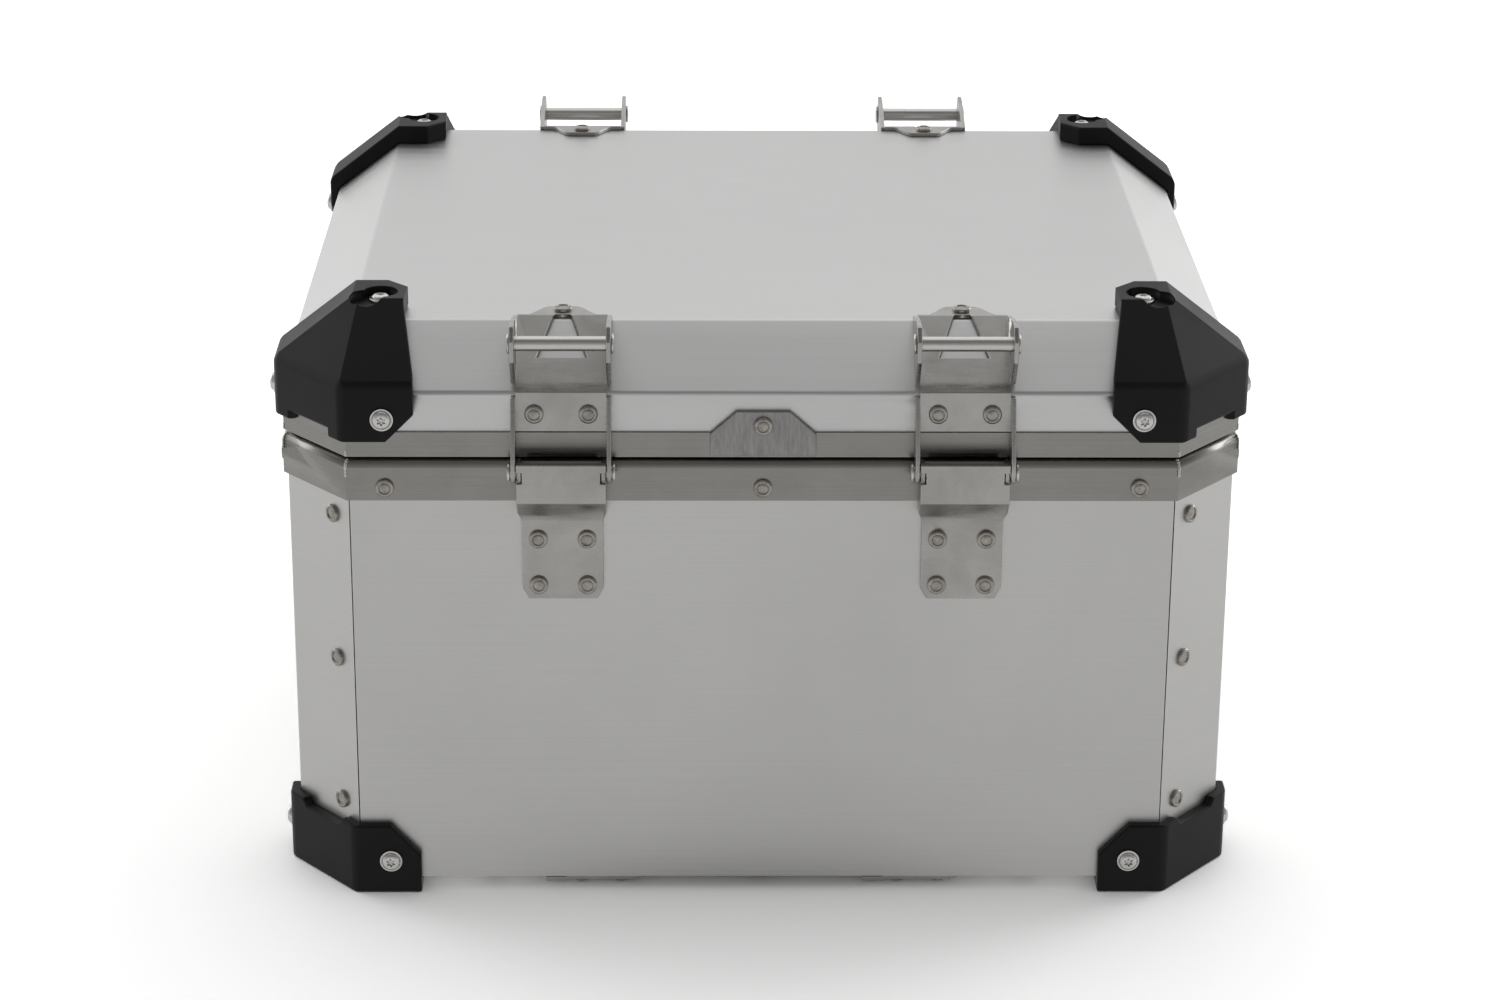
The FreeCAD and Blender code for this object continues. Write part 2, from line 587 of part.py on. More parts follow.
def headed_bar(radius, head_r, y, z, head):
    """Bar across both ears with a flat head outside each."""
    shank = rod_x(radius, -EAR_OUT - CLEAR, EAR_OUT + CLEAR, y, z)
    left = rod_x(head_r, -EAR_OUT - head, -EAR_OUT - CLEAR, y, z)
    return fuse([shank, left, mirror_x(left)])


def build_lid_brackets():
    """Two hinge brackets and two catch brackets, with tie bars and catch rods."""
    bracket = lid_bracket()
    bar = headed_bar(BAR_R, 4.25, -BAR_Y, BAR_Z, 1.2)
    catch = headed_bar(PIN_R, 4.25, -PIVOT_Y, PIVOT_Z, 1.6)
    kinds = {"front": "hinge_bracket", "rear": "catch_bracket"}
    skirt = []
    tongue = []
    for end_name, end in ENDS.items():
        for side_name, side in SIDES.items():
            shift = Vector(side * BRACKET_X, 0, 0)
            x = side * BRACKET_X
            name = "%s_%s" % (kinds[end_name], side_name)
            nodes[name] = to_side(bracket, -1, end).translated(shift)
            nodes["tie_bar_%s_%s" % (end_name, side_name)] = to_side(bar, -1, end).translated(shift)
            if end_name == "rear":
                nodes["catch_rod_" + side_name] = mirror_y(catch).translated(shift)
            for across in (-11.4, 11.4):
                skirt.append(((x + across, end * (HALF_Y + PLATE), LID_BEND - 8.6), (0, end, 0)))
            tongue.append(((x, end * (HALF_Y - 36.4), LID_TOP + PLATE), (0, 0, 1)))
    sheets = ["lid_sheet"] + ["%s_%s" % (kind, side) for kind in kinds.values() for side in SIDES]
    fasten("bracket_rivets", sheets, skirt + tongue, PLATE + SHEET)


def build_hinges():
    """Hinge bases riveted to the front wall, and the stub pins that carry the lid."""
    t = PLATE
    wall = -HALF_Y
    front = -CHANNEL_Y
    step = t * 0.6
    section = [(wall, BASE_LOW), (wall, STEP_LOW + step), (front + t, STEP_HIGH + step),
               (front + t, CHANNEL_TOP), (front, CHANNEL_TOP), (front, STEP_HIGH),
               (wall - t, STEP_LOW), (wall - t, BASE_LOW)]
    strip = slab_x(section, -CHANNEL_HALF, CHANNEL_HALF)
    waist = STEP_LOW - 1.0
    cut = 2.6
    outer = [(-BASE_HALF + cut, BASE_LOW), (-BASE_HALF, BASE_LOW + 5), (-BASE_HALF, waist),
             (-CHANNEL_HALF, waist + 6), (-CHANNEL_HALF, CHANNEL_TOP)]
    keep = slab_y(outer + [(-x, z) for x, z in reversed(outer)], front - 1, wall)
    strip = strip.common(keep)
    lip = box(-CHANNEL_HALF, CHANNEL_HALF, front, front + 3.2, CHANNEL_TOP - t, CHANNEL_TOP)
    rim_side = wall - RIM_PROUD - 0.4
    cheek = [(front, CHANNEL_TOP), (front, STEP_HIGH), (wall - t, STEP_LOW + 3),
             (rim_side, STEP_LOW + 4), (rim_side, CHANNEL_TOP - 1)]
    parts = [strip, lip]
    for x in (-CHANNEL_HALF, CHANNEL_HALF - t):
        parts.append(slab_x(cheek, x, x + t))
    base = fuse(parts)
    cuts = [rod_x(PIN_R + CLEAR, -30, 30, -PIVOT_Y, PIVOT_Z)]
    for x in (-CHANNEL_HALF - 1, CHANNEL_HALF - t - 0.4):
        cuts.append(box(x, x + t + 1.4, front - 1, front + t, PIVOT_Z - 3.4, PIVOT_Z + 1.4))
    base = base.cut(Part.makeCompound(cuts))
    gap = 0.3
    pin = fuse([rod_x(PIN_R, CHANNEL_HALF - t - 1.2, EAR_OUT + gap, -PIVOT_Y, PIVOT_Z),
                rod_x(3.8, CHANNEL_HALF - t - 2.0, CHANNEL_HALF - t - CLEAR, -PIVOT_Y, PIVOT_Z),
                rod_x(4.2, EAR_OUT + gap, EAR_OUT + gap + 1.4, -PIVOT_Y, PIVOT_Z)])
    pins = []
    places = []
    for name, side in SIDES.items():
        shift = Vector(side * BRACKET_X, 0, 0)
        nodes["hinge_base_" + name] = base.translated(shift)
        pins += [pin.translated(shift), mirror_x(pin).translated(shift)]
        for across in (-10.4, 10.4):
            for z in (BASE_LOW + 6.5, BASE_LOW + 27.5):
                places.append(((side * BRACKET_X + across, wall - t, z), (0, -1, 0)))
    nodes["hinge_pins"] = Part.makeCompound(pins)
    fasten("hinge_base_rivets", ["hinge_base_left", "hinge_base_right", "front_panel"],
           places, PLATE + SHEET)


# ---- latches ------------------------------------------------------------------------------
def latch_base():
    """Riveted base with two cheeks that carry the lever's pivot."""
    half = LATCH_BASE_HALF
    plate = slab_y([(2.6 - half, BASE_LOW), (half - 2.6, BASE_LOW), (half, BASE_LOW + 5),
                    (half, STEP_LOW), (-half, STEP_LOW), (-half, BASE_LOW + 5)],
                   HALF_Y, HALF_Y + PLATE)
    r = 5.8
    web = [(HALF_Y + PLATE, LEVER_Z - r), (LEVER_Y, LEVER_Z - r), (LEVER_Y, LEVER_Z + r),
           (HALF_Y + PLATE, LEVER_Z + r + 4)]
    parts = [plate]
    for x in (-half, half - PLATE):
        parts.append(fuse([slab_x(web, x, x + PLATE), rod_x(r, x, x + PLATE, LEVER_Y, LEVER_Z)]))
    return fuse(parts).cut(rod_x(LEVER_PIN_R + CLEAR, -30, 30, LEVER_Y, LEVER_Z))


def latch_lever():
    """Pressed channel lever, latched position, about x = 0."""
    inner = LEVER_FACE - PLATE
    low = LEVER_Z - 1.0
    top = LEVER_TOP
    flare = 14.0
    panel = [(-LEVER_HALF, low), (LEVER_HALF, low), (LEVER_HALF, top - flare),
             (LEVER_HALF - 7, top), (7 - LEVER_HALF, top), (-LEVER_HALF, top - flare)]
    cheek = [(inner + 0.5, low), (LEVER_Y, LEVER_Z - 5.0), (LEVER_Y - 5.0, LEVER_Z),
             (LEVER_Y - 4.0, LEVER_Z + 6), (inner - 3, top - 26), (inner + 0.5, top - flare)]
    parts = [slab_y(panel, inner, LEVER_FACE)]
    for x in (-LEVER_HALF, LEVER_HALF - PLATE):
        parts.append(fuse([slab_x(cheek, x, x + PLATE),
                           rod_x(5.0, x, x + PLATE, LEVER_Y, LEVER_Z)]))
    lip = [(inner, top - 2), (LEVER_FACE, top - 2), (LEVER_FACE + 4.5, top + 1.0),
           (LEVER_FACE + 3.6, top + 2.8), (inner, top)]
    parts.append(slab_x(lip, 7 - LEVER_HALF, LEVER_HALF - 7))
    lever = fuse(parts)
    cuts = [rod_x(LEVER_PIN_R + CLEAR, -30, 30, LEVER_Y, LEVER_Z),
            rod_y(LOCK_R + CLEAR, inner - 9, LEVER_FACE + 9, 0, LOCK_Z)]
    return lever.cut(Part.makeCompound(cuts))


def latch_claw():
    """Steel hook on the lever: its underside is an arc about the lever's pivot."""
    inner = LEVER_FACE - PLATE
    reach = math.hypot(PIVOT_Y - LEVER_Y, PIVOT_Z - LEVER_Z) + PIN_R + CLAW_GAP
    tip = PIVOT_Y - 2.0
    disc = rod_x(reach + CLAW_STEEL, -CLAW_HALF, CLAW_HALF, LEVER_Y, LEVER_Z)
    disc = disc.cut(rod_x(reach, -30, 30, LEVER_Y, LEVER_Z))
    hook = disc.common(box(-30, 30, tip, inner, LEVER_Z, LEVER_Z + 99))
    foot = box(-CLAW_HALF, CLAW_HALF, inner - CLAW_STEEL, inner, LEVER_Z + reach + 0.6,
               CLAW_RIVET_Z + 4.4)
    return fuse([hook, foot])


def lock_housing():
    """Collar pressed into the lever, with the plug's bore."""
    face_y = LEVER_FACE + 1.2
    collar = fuse([rod_y(LOCK_R, LEVER_FACE - 11, face_y, 0, LOCK_Z),
                   rod_y(LOCK_R + 2, LEVER_FACE + CLEAR, face_y, 0, LOCK_Z)])
    return collar.cut(rod_y(PLUG_R + CLEAR, LEVER_FACE - 20, face_y + 9, 0, LOCK_Z))


def lock_plug():
    """Turning plug with the key slot outside and the cam inside, cam lying sideways."""
    cam_out = PIVOT_Y - PIN_R - 0.4
    cam_in = cam_out - 1.9
    plug = rod_y(PLUG_R, cam_out, LEVER_FACE + 0.9, 0, LOCK_Z)
    key = box(-3.2, 3.2, LEVER_FACE - 6, LEVER_FACE + 2, LOCK_Z - 0.6, LOCK_Z + 0.6)
    cam = fuse([box(0, CAM_LENGTH - 4, cam_in, cam_out, LOCK_Z - 4, LOCK_Z + 4),
                rod_y(4, cam_in, cam_out, CAM_LENGTH - 4, LOCK_Z),
                rod_y(PLUG_R, cam_in, cam_out, 0, LOCK_Z)])
    return fuse([plug, cam]).cut(key)


def build_latches():
    """Two latches on the rear wall, levers standing off by the rest angle."""
    turn = -REST_OPEN
    base = latch_base()
    pin = fuse([rod_x(LEVER_PIN_R, -LEVER_HALF - 0.3, LEVER_HALF + 0.3, LEVER_Y, LEVER_Z),
                rod_x(3.8, LEVER_HALF + 0.3, LEVER_HALF + 1.5, LEVER_Y, LEVER_Z),
                rod_x(3.8, -LEVER_HALF - 1.5, -LEVER_HALF - 0.3, LEVER_Y, LEVER_Z)])
    grip = PLATE + CLAW_STEEL
    spots = [(x, LEVER_FACE, CLAW_RIVET_Z) for x in (-4.7, 4.7)]
    holes = Part.makeCompound([rivet_hole(p, (0, 1, 0), grip) for p in spots])
    rivets = Part.makeCompound([aim(rivet(grip), p, (0, 1, 0)) for p in spots])
    moving = {"latch_lever": latch_lever().cut(holes), "latch_claw": latch_claw().cut(holes),
              "claw_rivets": rivets, "lock_housing": lock_housing(), "lock_plug": lock_plug()}
    places = []
    pins = []
    for name, side in SIDES.items():
        shift = Vector(side * BRACKET_X, 0, 0)
        nodes["latch_base_" + name] = base.translated(shift)
        pins.append(pin.translated(shift))
        for kind, shape in moving.items():
            turned = shape.copy()
            turned.rotate(Vector(0, LEVER_Y, LEVER_Z), Vector(1, 0, 0), turn)
            nodes["%s_%s" % (kind, name)] = turned.translated(shift)
        for across in (-9.3, 9.3):
            for z in (BASE_LOW + 5.2, BASE_LOW + 30.0):
                places.append(((side * BRACKET_X + across, HALF_Y + PLATE, z), (0, 1, 0)))
    nodes["lever_pins"] = Part.makeCompound(pins)
    fasten("latch_base_rivets", ["latch_base_left", "latch_base_right", "rear_panel"],
           places, PLATE + SHEET)


build_walls()
build_rim()
build_lower_caps()
build_body_rivets()
build_rails()
build_lid()
build_upper_caps()
build_lid_brackets()
build_hinges()
build_latches()

os.makedirs("parts", exist_ok=True)
for name, shape in nodes.items():
    shape.exportStep("parts/%s.step" % name)
    print("%-24s %2d solids, %9.1f mm3, valid %s"
          % (name, len(shape.Solids), shape.Volume, shape.isValid()))
print(len(nodes), "nodes")
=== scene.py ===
"""Looks of an aluminium top case: brushed sheet, steel brackets, rivets and moulded caps."""
import logging
import math
from dataclasses import dataclass
from enum import Enum
from typing import Callable, Optional

import bmesh
import bpy
from mathutils import Matrix, Vector
from mathutils.bvhtree import BVHTree


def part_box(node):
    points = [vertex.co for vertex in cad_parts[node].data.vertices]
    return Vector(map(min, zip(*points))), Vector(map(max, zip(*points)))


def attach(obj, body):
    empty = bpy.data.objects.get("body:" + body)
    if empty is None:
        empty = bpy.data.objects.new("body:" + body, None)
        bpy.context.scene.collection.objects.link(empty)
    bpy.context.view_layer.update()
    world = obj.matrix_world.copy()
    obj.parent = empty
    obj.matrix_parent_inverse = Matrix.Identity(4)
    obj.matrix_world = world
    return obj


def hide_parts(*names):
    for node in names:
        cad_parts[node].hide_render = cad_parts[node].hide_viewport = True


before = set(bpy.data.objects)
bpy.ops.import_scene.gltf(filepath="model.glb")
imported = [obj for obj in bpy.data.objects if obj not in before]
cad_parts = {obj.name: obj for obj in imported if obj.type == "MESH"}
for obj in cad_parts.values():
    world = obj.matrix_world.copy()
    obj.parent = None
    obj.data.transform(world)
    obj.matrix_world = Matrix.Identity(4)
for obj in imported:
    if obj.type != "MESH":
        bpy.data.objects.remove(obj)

LOG = logging.getLogger("top_case")
MM = 0.001
SIDES = ("left", "right")
ENDS = ("front", "rear")
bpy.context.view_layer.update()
Colour = tuple[float, float, float]
Point = tuple[float, float, float]
JOIN_WITHIN = 0.002 * MM  # corners nearer than this are one
FLAT_WITHIN = 0.4  # turn in degrees that still counts as flat
LEAST_SURFACE, MOST_SURFACE = 0.9, 1.004  # what rounding may make of a piece's surface
SIDEWAYS = 0.35  # a face that looks along X by more than this is a side slope
BROAD_STREAKS = 0.45  # share of broad streaks, the rest being fine ones
TUMBLED_GRAIN = 420.0  # grain of parts that have no brushing direction
SHEET_PATCHES, STEEL_CLOUDS, PLASTIC_PATCHES, FLOOR_PATCHES = 7.0, 48.0, 22.0, 1.5
WEAR_BREAKS, WEAR_GAIN = 260.0, 9.0  # how finely worn edges break up, and how strongly they show
RUBBED_BRIGHTER = 1.18  # how much brighter a rubbed edge is


# ---- node tree helpers --------------------------------------------------------------------
class Tree:
    """A node tree with short ways to add nodes and links."""

    def __init__(self, tree: bpy.types.NodeTree) -> None:
        """Wraps a tree and empties it.

        Args:
            tree: The node tree to fill.
        """
        self.tree = tree
        tree.nodes.clear()

    def add(self, kind: str, settings: Optional[dict] = None, **inputs: object) -> bpy.types.Node:
        """Adds a node.

        Args:
            kind: The node's type name.
            settings: Properties of the node itself, by name.
            **inputs: Input sockets by name, with _ for a space. A value is a number, a tuple or
                an output socket to link from.

        Returns:
            The new node.
        """
        node = self.tree.nodes.new(kind)
        for name, value in (settings or {}).items():
            setattr(node, name, value)
        for name, value in inputs.items():
            self.feed(node.inputs[name.replace("_", " ")], value)
        return node

    def feed(self, socket: bpy.types.NodeSocket, value: object) -> None:
        """Links an output socket to an input, or sets the input's own value.

        Args:
            socket: The input.
            value: An output socket, or a plain value.
        """
        if isinstance(value, bpy.types.NodeSocket):
            self.tree.links.new(value, socket)
        else:
            socket.default_value = value

    def maths(self, operation: str, first: object, second: object = 0.0) -> bpy.types.NodeSocket:
        """Adds a Math node on two values.

        Args:
            operation: The node's operation.
            first: The first value or socket.
            second: The second value or socket.

        Returns:
            Its output socket.
        """
        node = self.add("ShaderNodeMath", {"operation": operation})
        self.feed(node.inputs[0], first)
        self.feed(node.inputs[1], second)
        return node.outputs[0]

    def vectors(self, operation: str, first: object, second: object) -> bpy.types.NodeSocket:
        """Adds a Vector Math node on two vectors.

        Args:
            operation: The node's operation.
            first: The first vector or socket.
            second: The second vector or socket.

        Returns:
            Its vector output, or its value output for a dot product.
        """
        node = self.add("ShaderNodeVectorMath", {"operation": operation})
        self.feed(node.inputs[0], first)
        self.feed(node.inputs[1], second)
        return node.outputs["Value" if operation == "DOT_PRODUCT" else "Vector"]

    def remap(self, value: object, low: float, high: float) -> bpy.types.NodeSocket:
        """Scales a 0 to 1 value to a range.

        Args:
            value: The value or socket.
            low: Result at 0.
            high: Result at 1.

        Returns:
            The output socket.
        """
        node = self.add("ShaderNodeMapRange", None, Value=value, To_Min=low, To_Max=high)
        return node.outputs[0]


def make_group(name: str, inputs: dict[str, str], outputs: dict[str, str]) -> tuple[Tree, dict]:
    """Makes an empty shader node group with named sockets.

    Args:
        name: The group's name.
        inputs: Socket name to socket kind, such as Float or Vector.
        outputs: The same for the outputs.

    Returns:
        The tree, and its input and output nodes as {"in": node, "out": node}.
    """
    group = bpy.data.node_groups.new(name, "ShaderNodeTree")
    for way, sockets in (("INPUT", inputs), ("OUTPUT", outputs)):
        for label, kind in sockets.items():
            group.interface.new_socket(label, in_out=way, socket_type="NodeSocket" + kind)
    tree = Tree(group)
    return tree, {"in": tree.add("NodeGroupInput"), "out": tree.add("NodeGroupOutput")}


def brushed_grain() -> bpy.types.NodeTree:
    """Group: streaks of brushed or rolled metal.

    Returns:
        The group. Across says along which axes the streaks are thin; on faces that look along X,
        Turn takes the thinness along Z away, so that the streaks run down a side slope.
    """
    tree, ends = make_group(
        "brushed_grain",
        {"Place": "Vector", "Across": "Vector", "Length": "Float", "Fineness": "Float",
         "Turn": "Float"},
        {"Streaks": "Float"})
    source = ends["in"].outputs
    normal = tree.add("ShaderNodeNewGeometry").outputs["True Normal"]
    facing = tree.add("ShaderNodeSeparateXYZ", None, Vector=normal).outputs["X"]
    side = tree.maths("GREATER_THAN", tree.maths("ABSOLUTE", facing), SIDEWAYS)
    kept = tree.maths("SUBTRACT", 1.0, tree.maths("MULTIPLY", side, source["Turn"]))
    across = tree.vectors("MULTIPLY", source["Across"],
                          tree.add("ShaderNodeCombineXYZ", None, X=1.0, Y=1.0, Z=kept).outputs[0])
    thin = tree.vectors("MULTIPLY", across, tree.add(
        "ShaderNodeCombineXYZ", None, X=source["Fineness"], Y=source["Fineness"],
        Z=source["Fineness"]).outputs[0])
    long_way = tree.add("ShaderNodeCombineXYZ", None, X=source["Length"], Y=source["Length"],
                        Z=source["Length"]).outputs[0]
    scaled = tree.vectors("MULTIPLY", source["Place"], tree.vectors("ADD", thin, long_way))
    broad = tree.add("ShaderNodeTexNoise", None, Vector=scaled, Scale=0.35, Detail=3.0,
                     Roughness=0.6)
    fine = tree.add("ShaderNodeTexNoise", None, Vector=scaled, Scale=1.4, Detail=2.0,
                    Roughness=0.7)
    both = tree.maths("ADD", tree.maths("MULTIPLY", broad.outputs[0], BROAD_STREAKS),
                      tree.maths("MULTIPLY", fine.outputs[0], 1.0 - BROAD_STREAKS))
    wide = tree.add("ShaderNodeMapRange", None, Value=both, From_Min=0.3, From_Max=0.7)
    tree.feed(ends["out"].inputs["Streaks"], wide.outputs[0])
    return tree.tree


def handled_patches() -> bpy.types.NodeTree:
    """Group: soft patches left by handling and wiping.

    Returns:
        The group, whose Patches output is 0 to 1.
    """
    tree, ends = make_group("handled_patches", {"Place": "Vector", "Size": "Float"},
                            {"Patches": "Float"})
    source = ends["in"].outputs
    soft = tree.add("ShaderNodeTexNoise", None, Vector=source["Place"], Scale=source["Size"],
                    Detail=4.0, Roughness=0.55, Distortion=0.4)
    wide = tree.add("ShaderNodeMapRange", None, Value=soft.outputs[0], From_Min=0.32, From_Max=0.68)
    tree.feed(ends["out"].inputs["Patches"], wide.outputs[0])
    return tree.tree


def rubbed_edges() -> bpy.types.NodeTree:
    """Group: where an edge is rubbed by use, from the turn of the surface close by.

    Returns:
        The group, whose Rubbed output is 0 on flats and 1 on worn edges.
    """
    tree, ends = make_group("rubbed_edges",
                            {"Place": "Vector", "Width": "Float", "Amount": "Float"},
                            {"Rubbed": "Float"})
    source = ends["in"].outputs
    rounded = tree.add("ShaderNodeBevel", {"samples": 4}, Radius=source["Width"]).outputs[0]
    flat = tree.add("ShaderNodeNewGeometry").outputs["Normal"]
    turn = tree.maths("SUBTRACT", 1.0, tree.vectors("DOT_PRODUCT", rounded, flat))
    broken = tree.add("ShaderNodeTexNoise", None, Vector=source["Place"], Scale=WEAR_BREAKS,
                      Detail=3.0)
    worn = tree.maths("MULTIPLY", tree.maths("MULTIPLY", turn, WEAR_GAIN),
                      tree.add("ShaderNodeMapRange", None, Value=broken.outputs[0],
                               From_Min=0.35, From_Max=0.6).outputs[0])
    node = tree.add("ShaderNodeMath", {"operation": "MULTIPLY", "use_clamp": True})
    tree.feed(node.inputs[0], worn)
    tree.feed(node.inputs[1], source["Amount"])
    tree.feed(ends["out"].inputs["Rubbed"], node.outputs[0])
    return tree.tree


def moulded_grain() -> bpy.types.NodeTree:
    """Group: fine pitted texture of moulded plastic or rubber.

    Returns:
        The group, whose Pits output is 0 to 1.
    """
    tree, ends = make_group("moulded_grain", {"Place": "Vector", "Fineness": "Float"},
                            {"Pits": "Float"})
    source = ends["in"].outputs
    cells = tree.add("ShaderNodeTexVoronoi", {"feature": "SMOOTH_F1"}, Vector=source["Place"],
                     Scale=source["Fineness"], Smoothness=0.6)
    specks = tree.add("ShaderNodeTexNoise", None, Vector=source["Place"], Scale=source["Fineness"],
                      Detail=2.0)
    both = tree.maths("ADD", tree.maths("MULTIPLY", cells.outputs["Distance"], 0.6),
                      tree.maths("MULTIPLY", specks.outputs[0], 0.4))
    tree.feed(ends["out"].inputs["Pits"], both)
    return tree.tree


class Effect(Enum):
    """Shader groups that several finishes share."""

    GRAIN = "brushed_grain"
    PATCHES = "handled_patches"
    RUBBED = "rubbed_edges"
    PITS = "moulded_grain"


EFFECT_MAKERS: dict[Effect, Callable[[], bpy.types.NodeTree]] = {
    Effect.GRAIN: brushed_grain, Effect.PATCHES: handled_patches,
    Effect.RUBBED: rubbed_edges, Effect.PITS: moulded_grain}


def effect(tree: Tree, kind: Effect, **inputs: object) -> bpy.types.NodeSocket:
    """Places a shared group in a material.

    Args:
        tree: The material's tree.
        kind: Which group.
        **inputs: Its inputs.

    Returns:
        The group's first output.
    """
    group = bpy.data.node_groups.get(kind.value) or EFFECT_MAKERS[kind]()
    node = tree.add("ShaderNodeGroup", {"node_tree": group})
    for name, value in inputs.items():
        tree.feed(node.inputs[name], value)
    return node.outputs[0]


# ---- finishes -----------------------------------------------------------------------------
class Brushing(Enum):
    """Axes along which a finish's streaks are thin."""

    LEVEL = (0.0, 0.0, 1.0)      # streaks lie level round the walls
    ACROSS_LID = (0.0, 1.0, 1.0)  # streaks run along the lid's width
    UPRIGHT = (1.0, 1.0, 0.0)    # streaks stand upright
    TURNED = (0.0, 0.0, 0.0)     # no direction, as on turned or tumbled parts


@dataclass(frozen=True)
class MetalFinish:
    """A metal with brushing, handled patches and rubbed edges."""

    name: str
    dark: Colour
    light: Colour
    roughness: float
    brushing: Brushing = Brushing.TURNED
    streak_length: float = 9.0
    fineness: float = 1500.0
    streak_roughness: float = 0.08
    patch_roughness: float = 0.05
    depth: float = 0.012
    rubbed: float = 0.5
    wear_width: float = 0.6 * MM
    mottled: float = 0.0

    def material(self) -> bpy.types.Material:
        """Builds the material.

        Returns:
            The material.
        """
        material = bpy.data.materials.new(self.name)
        material.use_nodes = True
        tree = Tree(material.node_tree)
        place = tree.add("ShaderNodeTexCoord").outputs["Object"]
        turn = 1.0 if self.brushing is Brushing.ACROSS_LID else 0.0
        turned = self.brushing is Brushing.TURNED
        streaks = effect(tree, Effect.GRAIN, Place=place, Across=self.brushing.value,
                         Length=TUMBLED_GRAIN if turned else self.streak_length,
                         Fineness=self.fineness, Turn=turn)
        patches = effect(tree, Effect.PATCHES, Place=place, Size=SHEET_PATCHES)
        rubbed = effect(tree, Effect.RUBBED, Place=place, Width=self.wear_width, Amount=self.rubbed)
        base = tree.add("ShaderNodeMix", {"data_type": "RGBA"})
        cloud = effect(tree, Effect.PATCHES, Place=place, Size=STEEL_CLOUDS)
        tone = tree.maths("ADD", tree.maths("MULTIPLY", streaks, 1.0 - self.mottled),
                          tree.maths("MULTIPLY", cloud, self.mottled))
        tree.feed(base.inputs["Factor"], tone)
        tree.feed(base.inputs[6], (*self.dark, 1.0))
        tree.feed(base.inputs[7], (*self.light, 1.0))
        worn = tree.add("ShaderNodeMix", {"data_type": "RGBA"})
        bright = tuple(min(1.0, c * RUBBED_BRIGHTER) for c in self.light)
        tree.feed(worn.inputs["Factor"], rubbed)
        tree.feed(worn.inputs[6], base.outputs[2])
        tree.feed(worn.inputs[7], (*bright, 1.0))
        rough = tree.maths("ADD", tree.remap(streaks, self.roughness - self.streak_roughness,
                                             self.roughness + self.streak_roughness),
                           tree.remap(patches, -self.patch_roughness, self.patch_roughness))
        rough = tree.maths("SUBTRACT", rough, tree.maths("MULTIPLY", rubbed, 0.1))
        bump = tree.add("ShaderNodeBump", None, Strength=self.depth * 10, Distance=0.02 * MM,
                        Height=streaks)
        shader = tree.add("ShaderNodeBsdfPrincipled", None, Metallic=1.0, Roughness=rough,
                          Base_Color=worn.outputs[2], Normal=bump.outputs[0])
        out = tree.add("ShaderNodeOutputMaterial")
        tree.feed(out.inputs["Surface"], shader.outputs[0])
        return material


@dataclass(frozen=True)
class MouldedFinish:
    """Plastic or rubber with a fine moulded texture."""

    name: str
    colour: Colour
    worn: Colour
    roughness: float
    fineness: float = 1900.0
    depth: float = 0.25
    rubbed: float = 0.35
    specular: float = 0.5

    def material(self) -> bpy.types.Material:
        """Builds the material.

        Returns:
            The material.
        """
        material = bpy.data.materials.new(self.name)
        material.use_nodes = True
        tree = Tree(material.node_tree)
        place = tree.add("ShaderNodeTexCoord").outputs["Object"]
        pits = effect(tree, Effect.PITS, Place=place, Fineness=self.fineness)
        patches = effect(tree, Effect.PATCHES, Place=place, Size=PLASTIC_PATCHES)
        rubbed = effect(tree, Effect.RUBBED, Place=place, Width=0.9 * MM, Amount=self.rubbed)
        tone = tree.add("ShaderNodeMix", {"data_type": "RGBA"})
        tree.feed(tone.inputs["Factor"], rubbed)
        shade = tree.add("ShaderNodeMix", {"data_type": "RGBA"})
        tree.feed(shade.inputs["Factor"], patches)
        tree.feed(shade.inputs[6], (*(c * 0.85 for c in self.colour), 1.0))
        tree.feed(shade.inputs[7], (*(c * 1.2 for c in self.colour), 1.0))
        tree.feed(tone.inputs[6], shade.outputs[2])
        tree.feed(tone.inputs[7], (*self.worn, 1.0))
        rough = tree.maths("ADD", tree.remap(patches, self.roughness - 0.05, self.roughness + 0.05),
                           tree.remap(pits, -0.06, 0.06))
        bump = tree.add("ShaderNodeBump", None, Strength=self.depth, Distance=0.06 * MM,
                        Height=pits)
        shader = tree.add("ShaderNodeBsdfPrincipled", None, Roughness=rough,
                          Base_Color=tone.outputs[2], Normal=bump.outputs[0],
                          Specular_IOR_Level=self.specular)
        out = tree.add("ShaderNodeOutputMaterial")
        tree.feed(out.inputs["Surface"], shader.outputs[0])
        return material


WALL_SHEET = MetalFinish("brushed_wall_sheet", (0.57, 0.565, 0.55), (0.63, 0.625, 0.61), 0.40,
                         Brushing.LEVEL)
LID_SHEET = MetalFinish("brushed_lid_sheet", (0.62, 0.62, 0.615), (0.68, 0.68, 0.675), 0.40,
                        Brushing.ACROSS_LID)
# Painted shade: the rim and the lid's frame are aluminium like the sheets, but their colour is
# darkened to about half of the sheets' to stand in for the darker reflection they show; their
# mottling and finer grain are their own.
RIM_ALUMINIUM_PAINTED_SHADE = MetalFinish("rolled_rim_aluminium_painted_shade", (0.255, 0.247, 0.232), (0.325, 0.316, 0.298),
                            0.29, Brushing.LEVEL, fineness=1100.0, mottled=0.35)
JOINT_PLATE = MetalFinish("sanded_joint_plate", (0.22, 0.217, 0.21), (0.38, 0.372, 0.36), 0.42,
                          Brushing.UPRIGHT, streak_length=120.0, fineness=600.0)
BRACKET_STEEL = MetalFinish("bracket_stainless", (0.34, 0.333, 0.318), (0.47, 0.462, 0.443), 0.27,
                            Brushing.LEVEL, streak_length=60.0, fineness=700.0, rubbed=0.9,
                            mottled=0.7, patch_roughness=0.07)
BAR_STEEL = MetalFinish("drawn_bar_stainless", (0.58, 0.57, 0.545), (0.68, 0.665, 0.64), 0.25,
                        Brushing.ACROSS_LID, streak_length=20.0, fineness=1300.0)
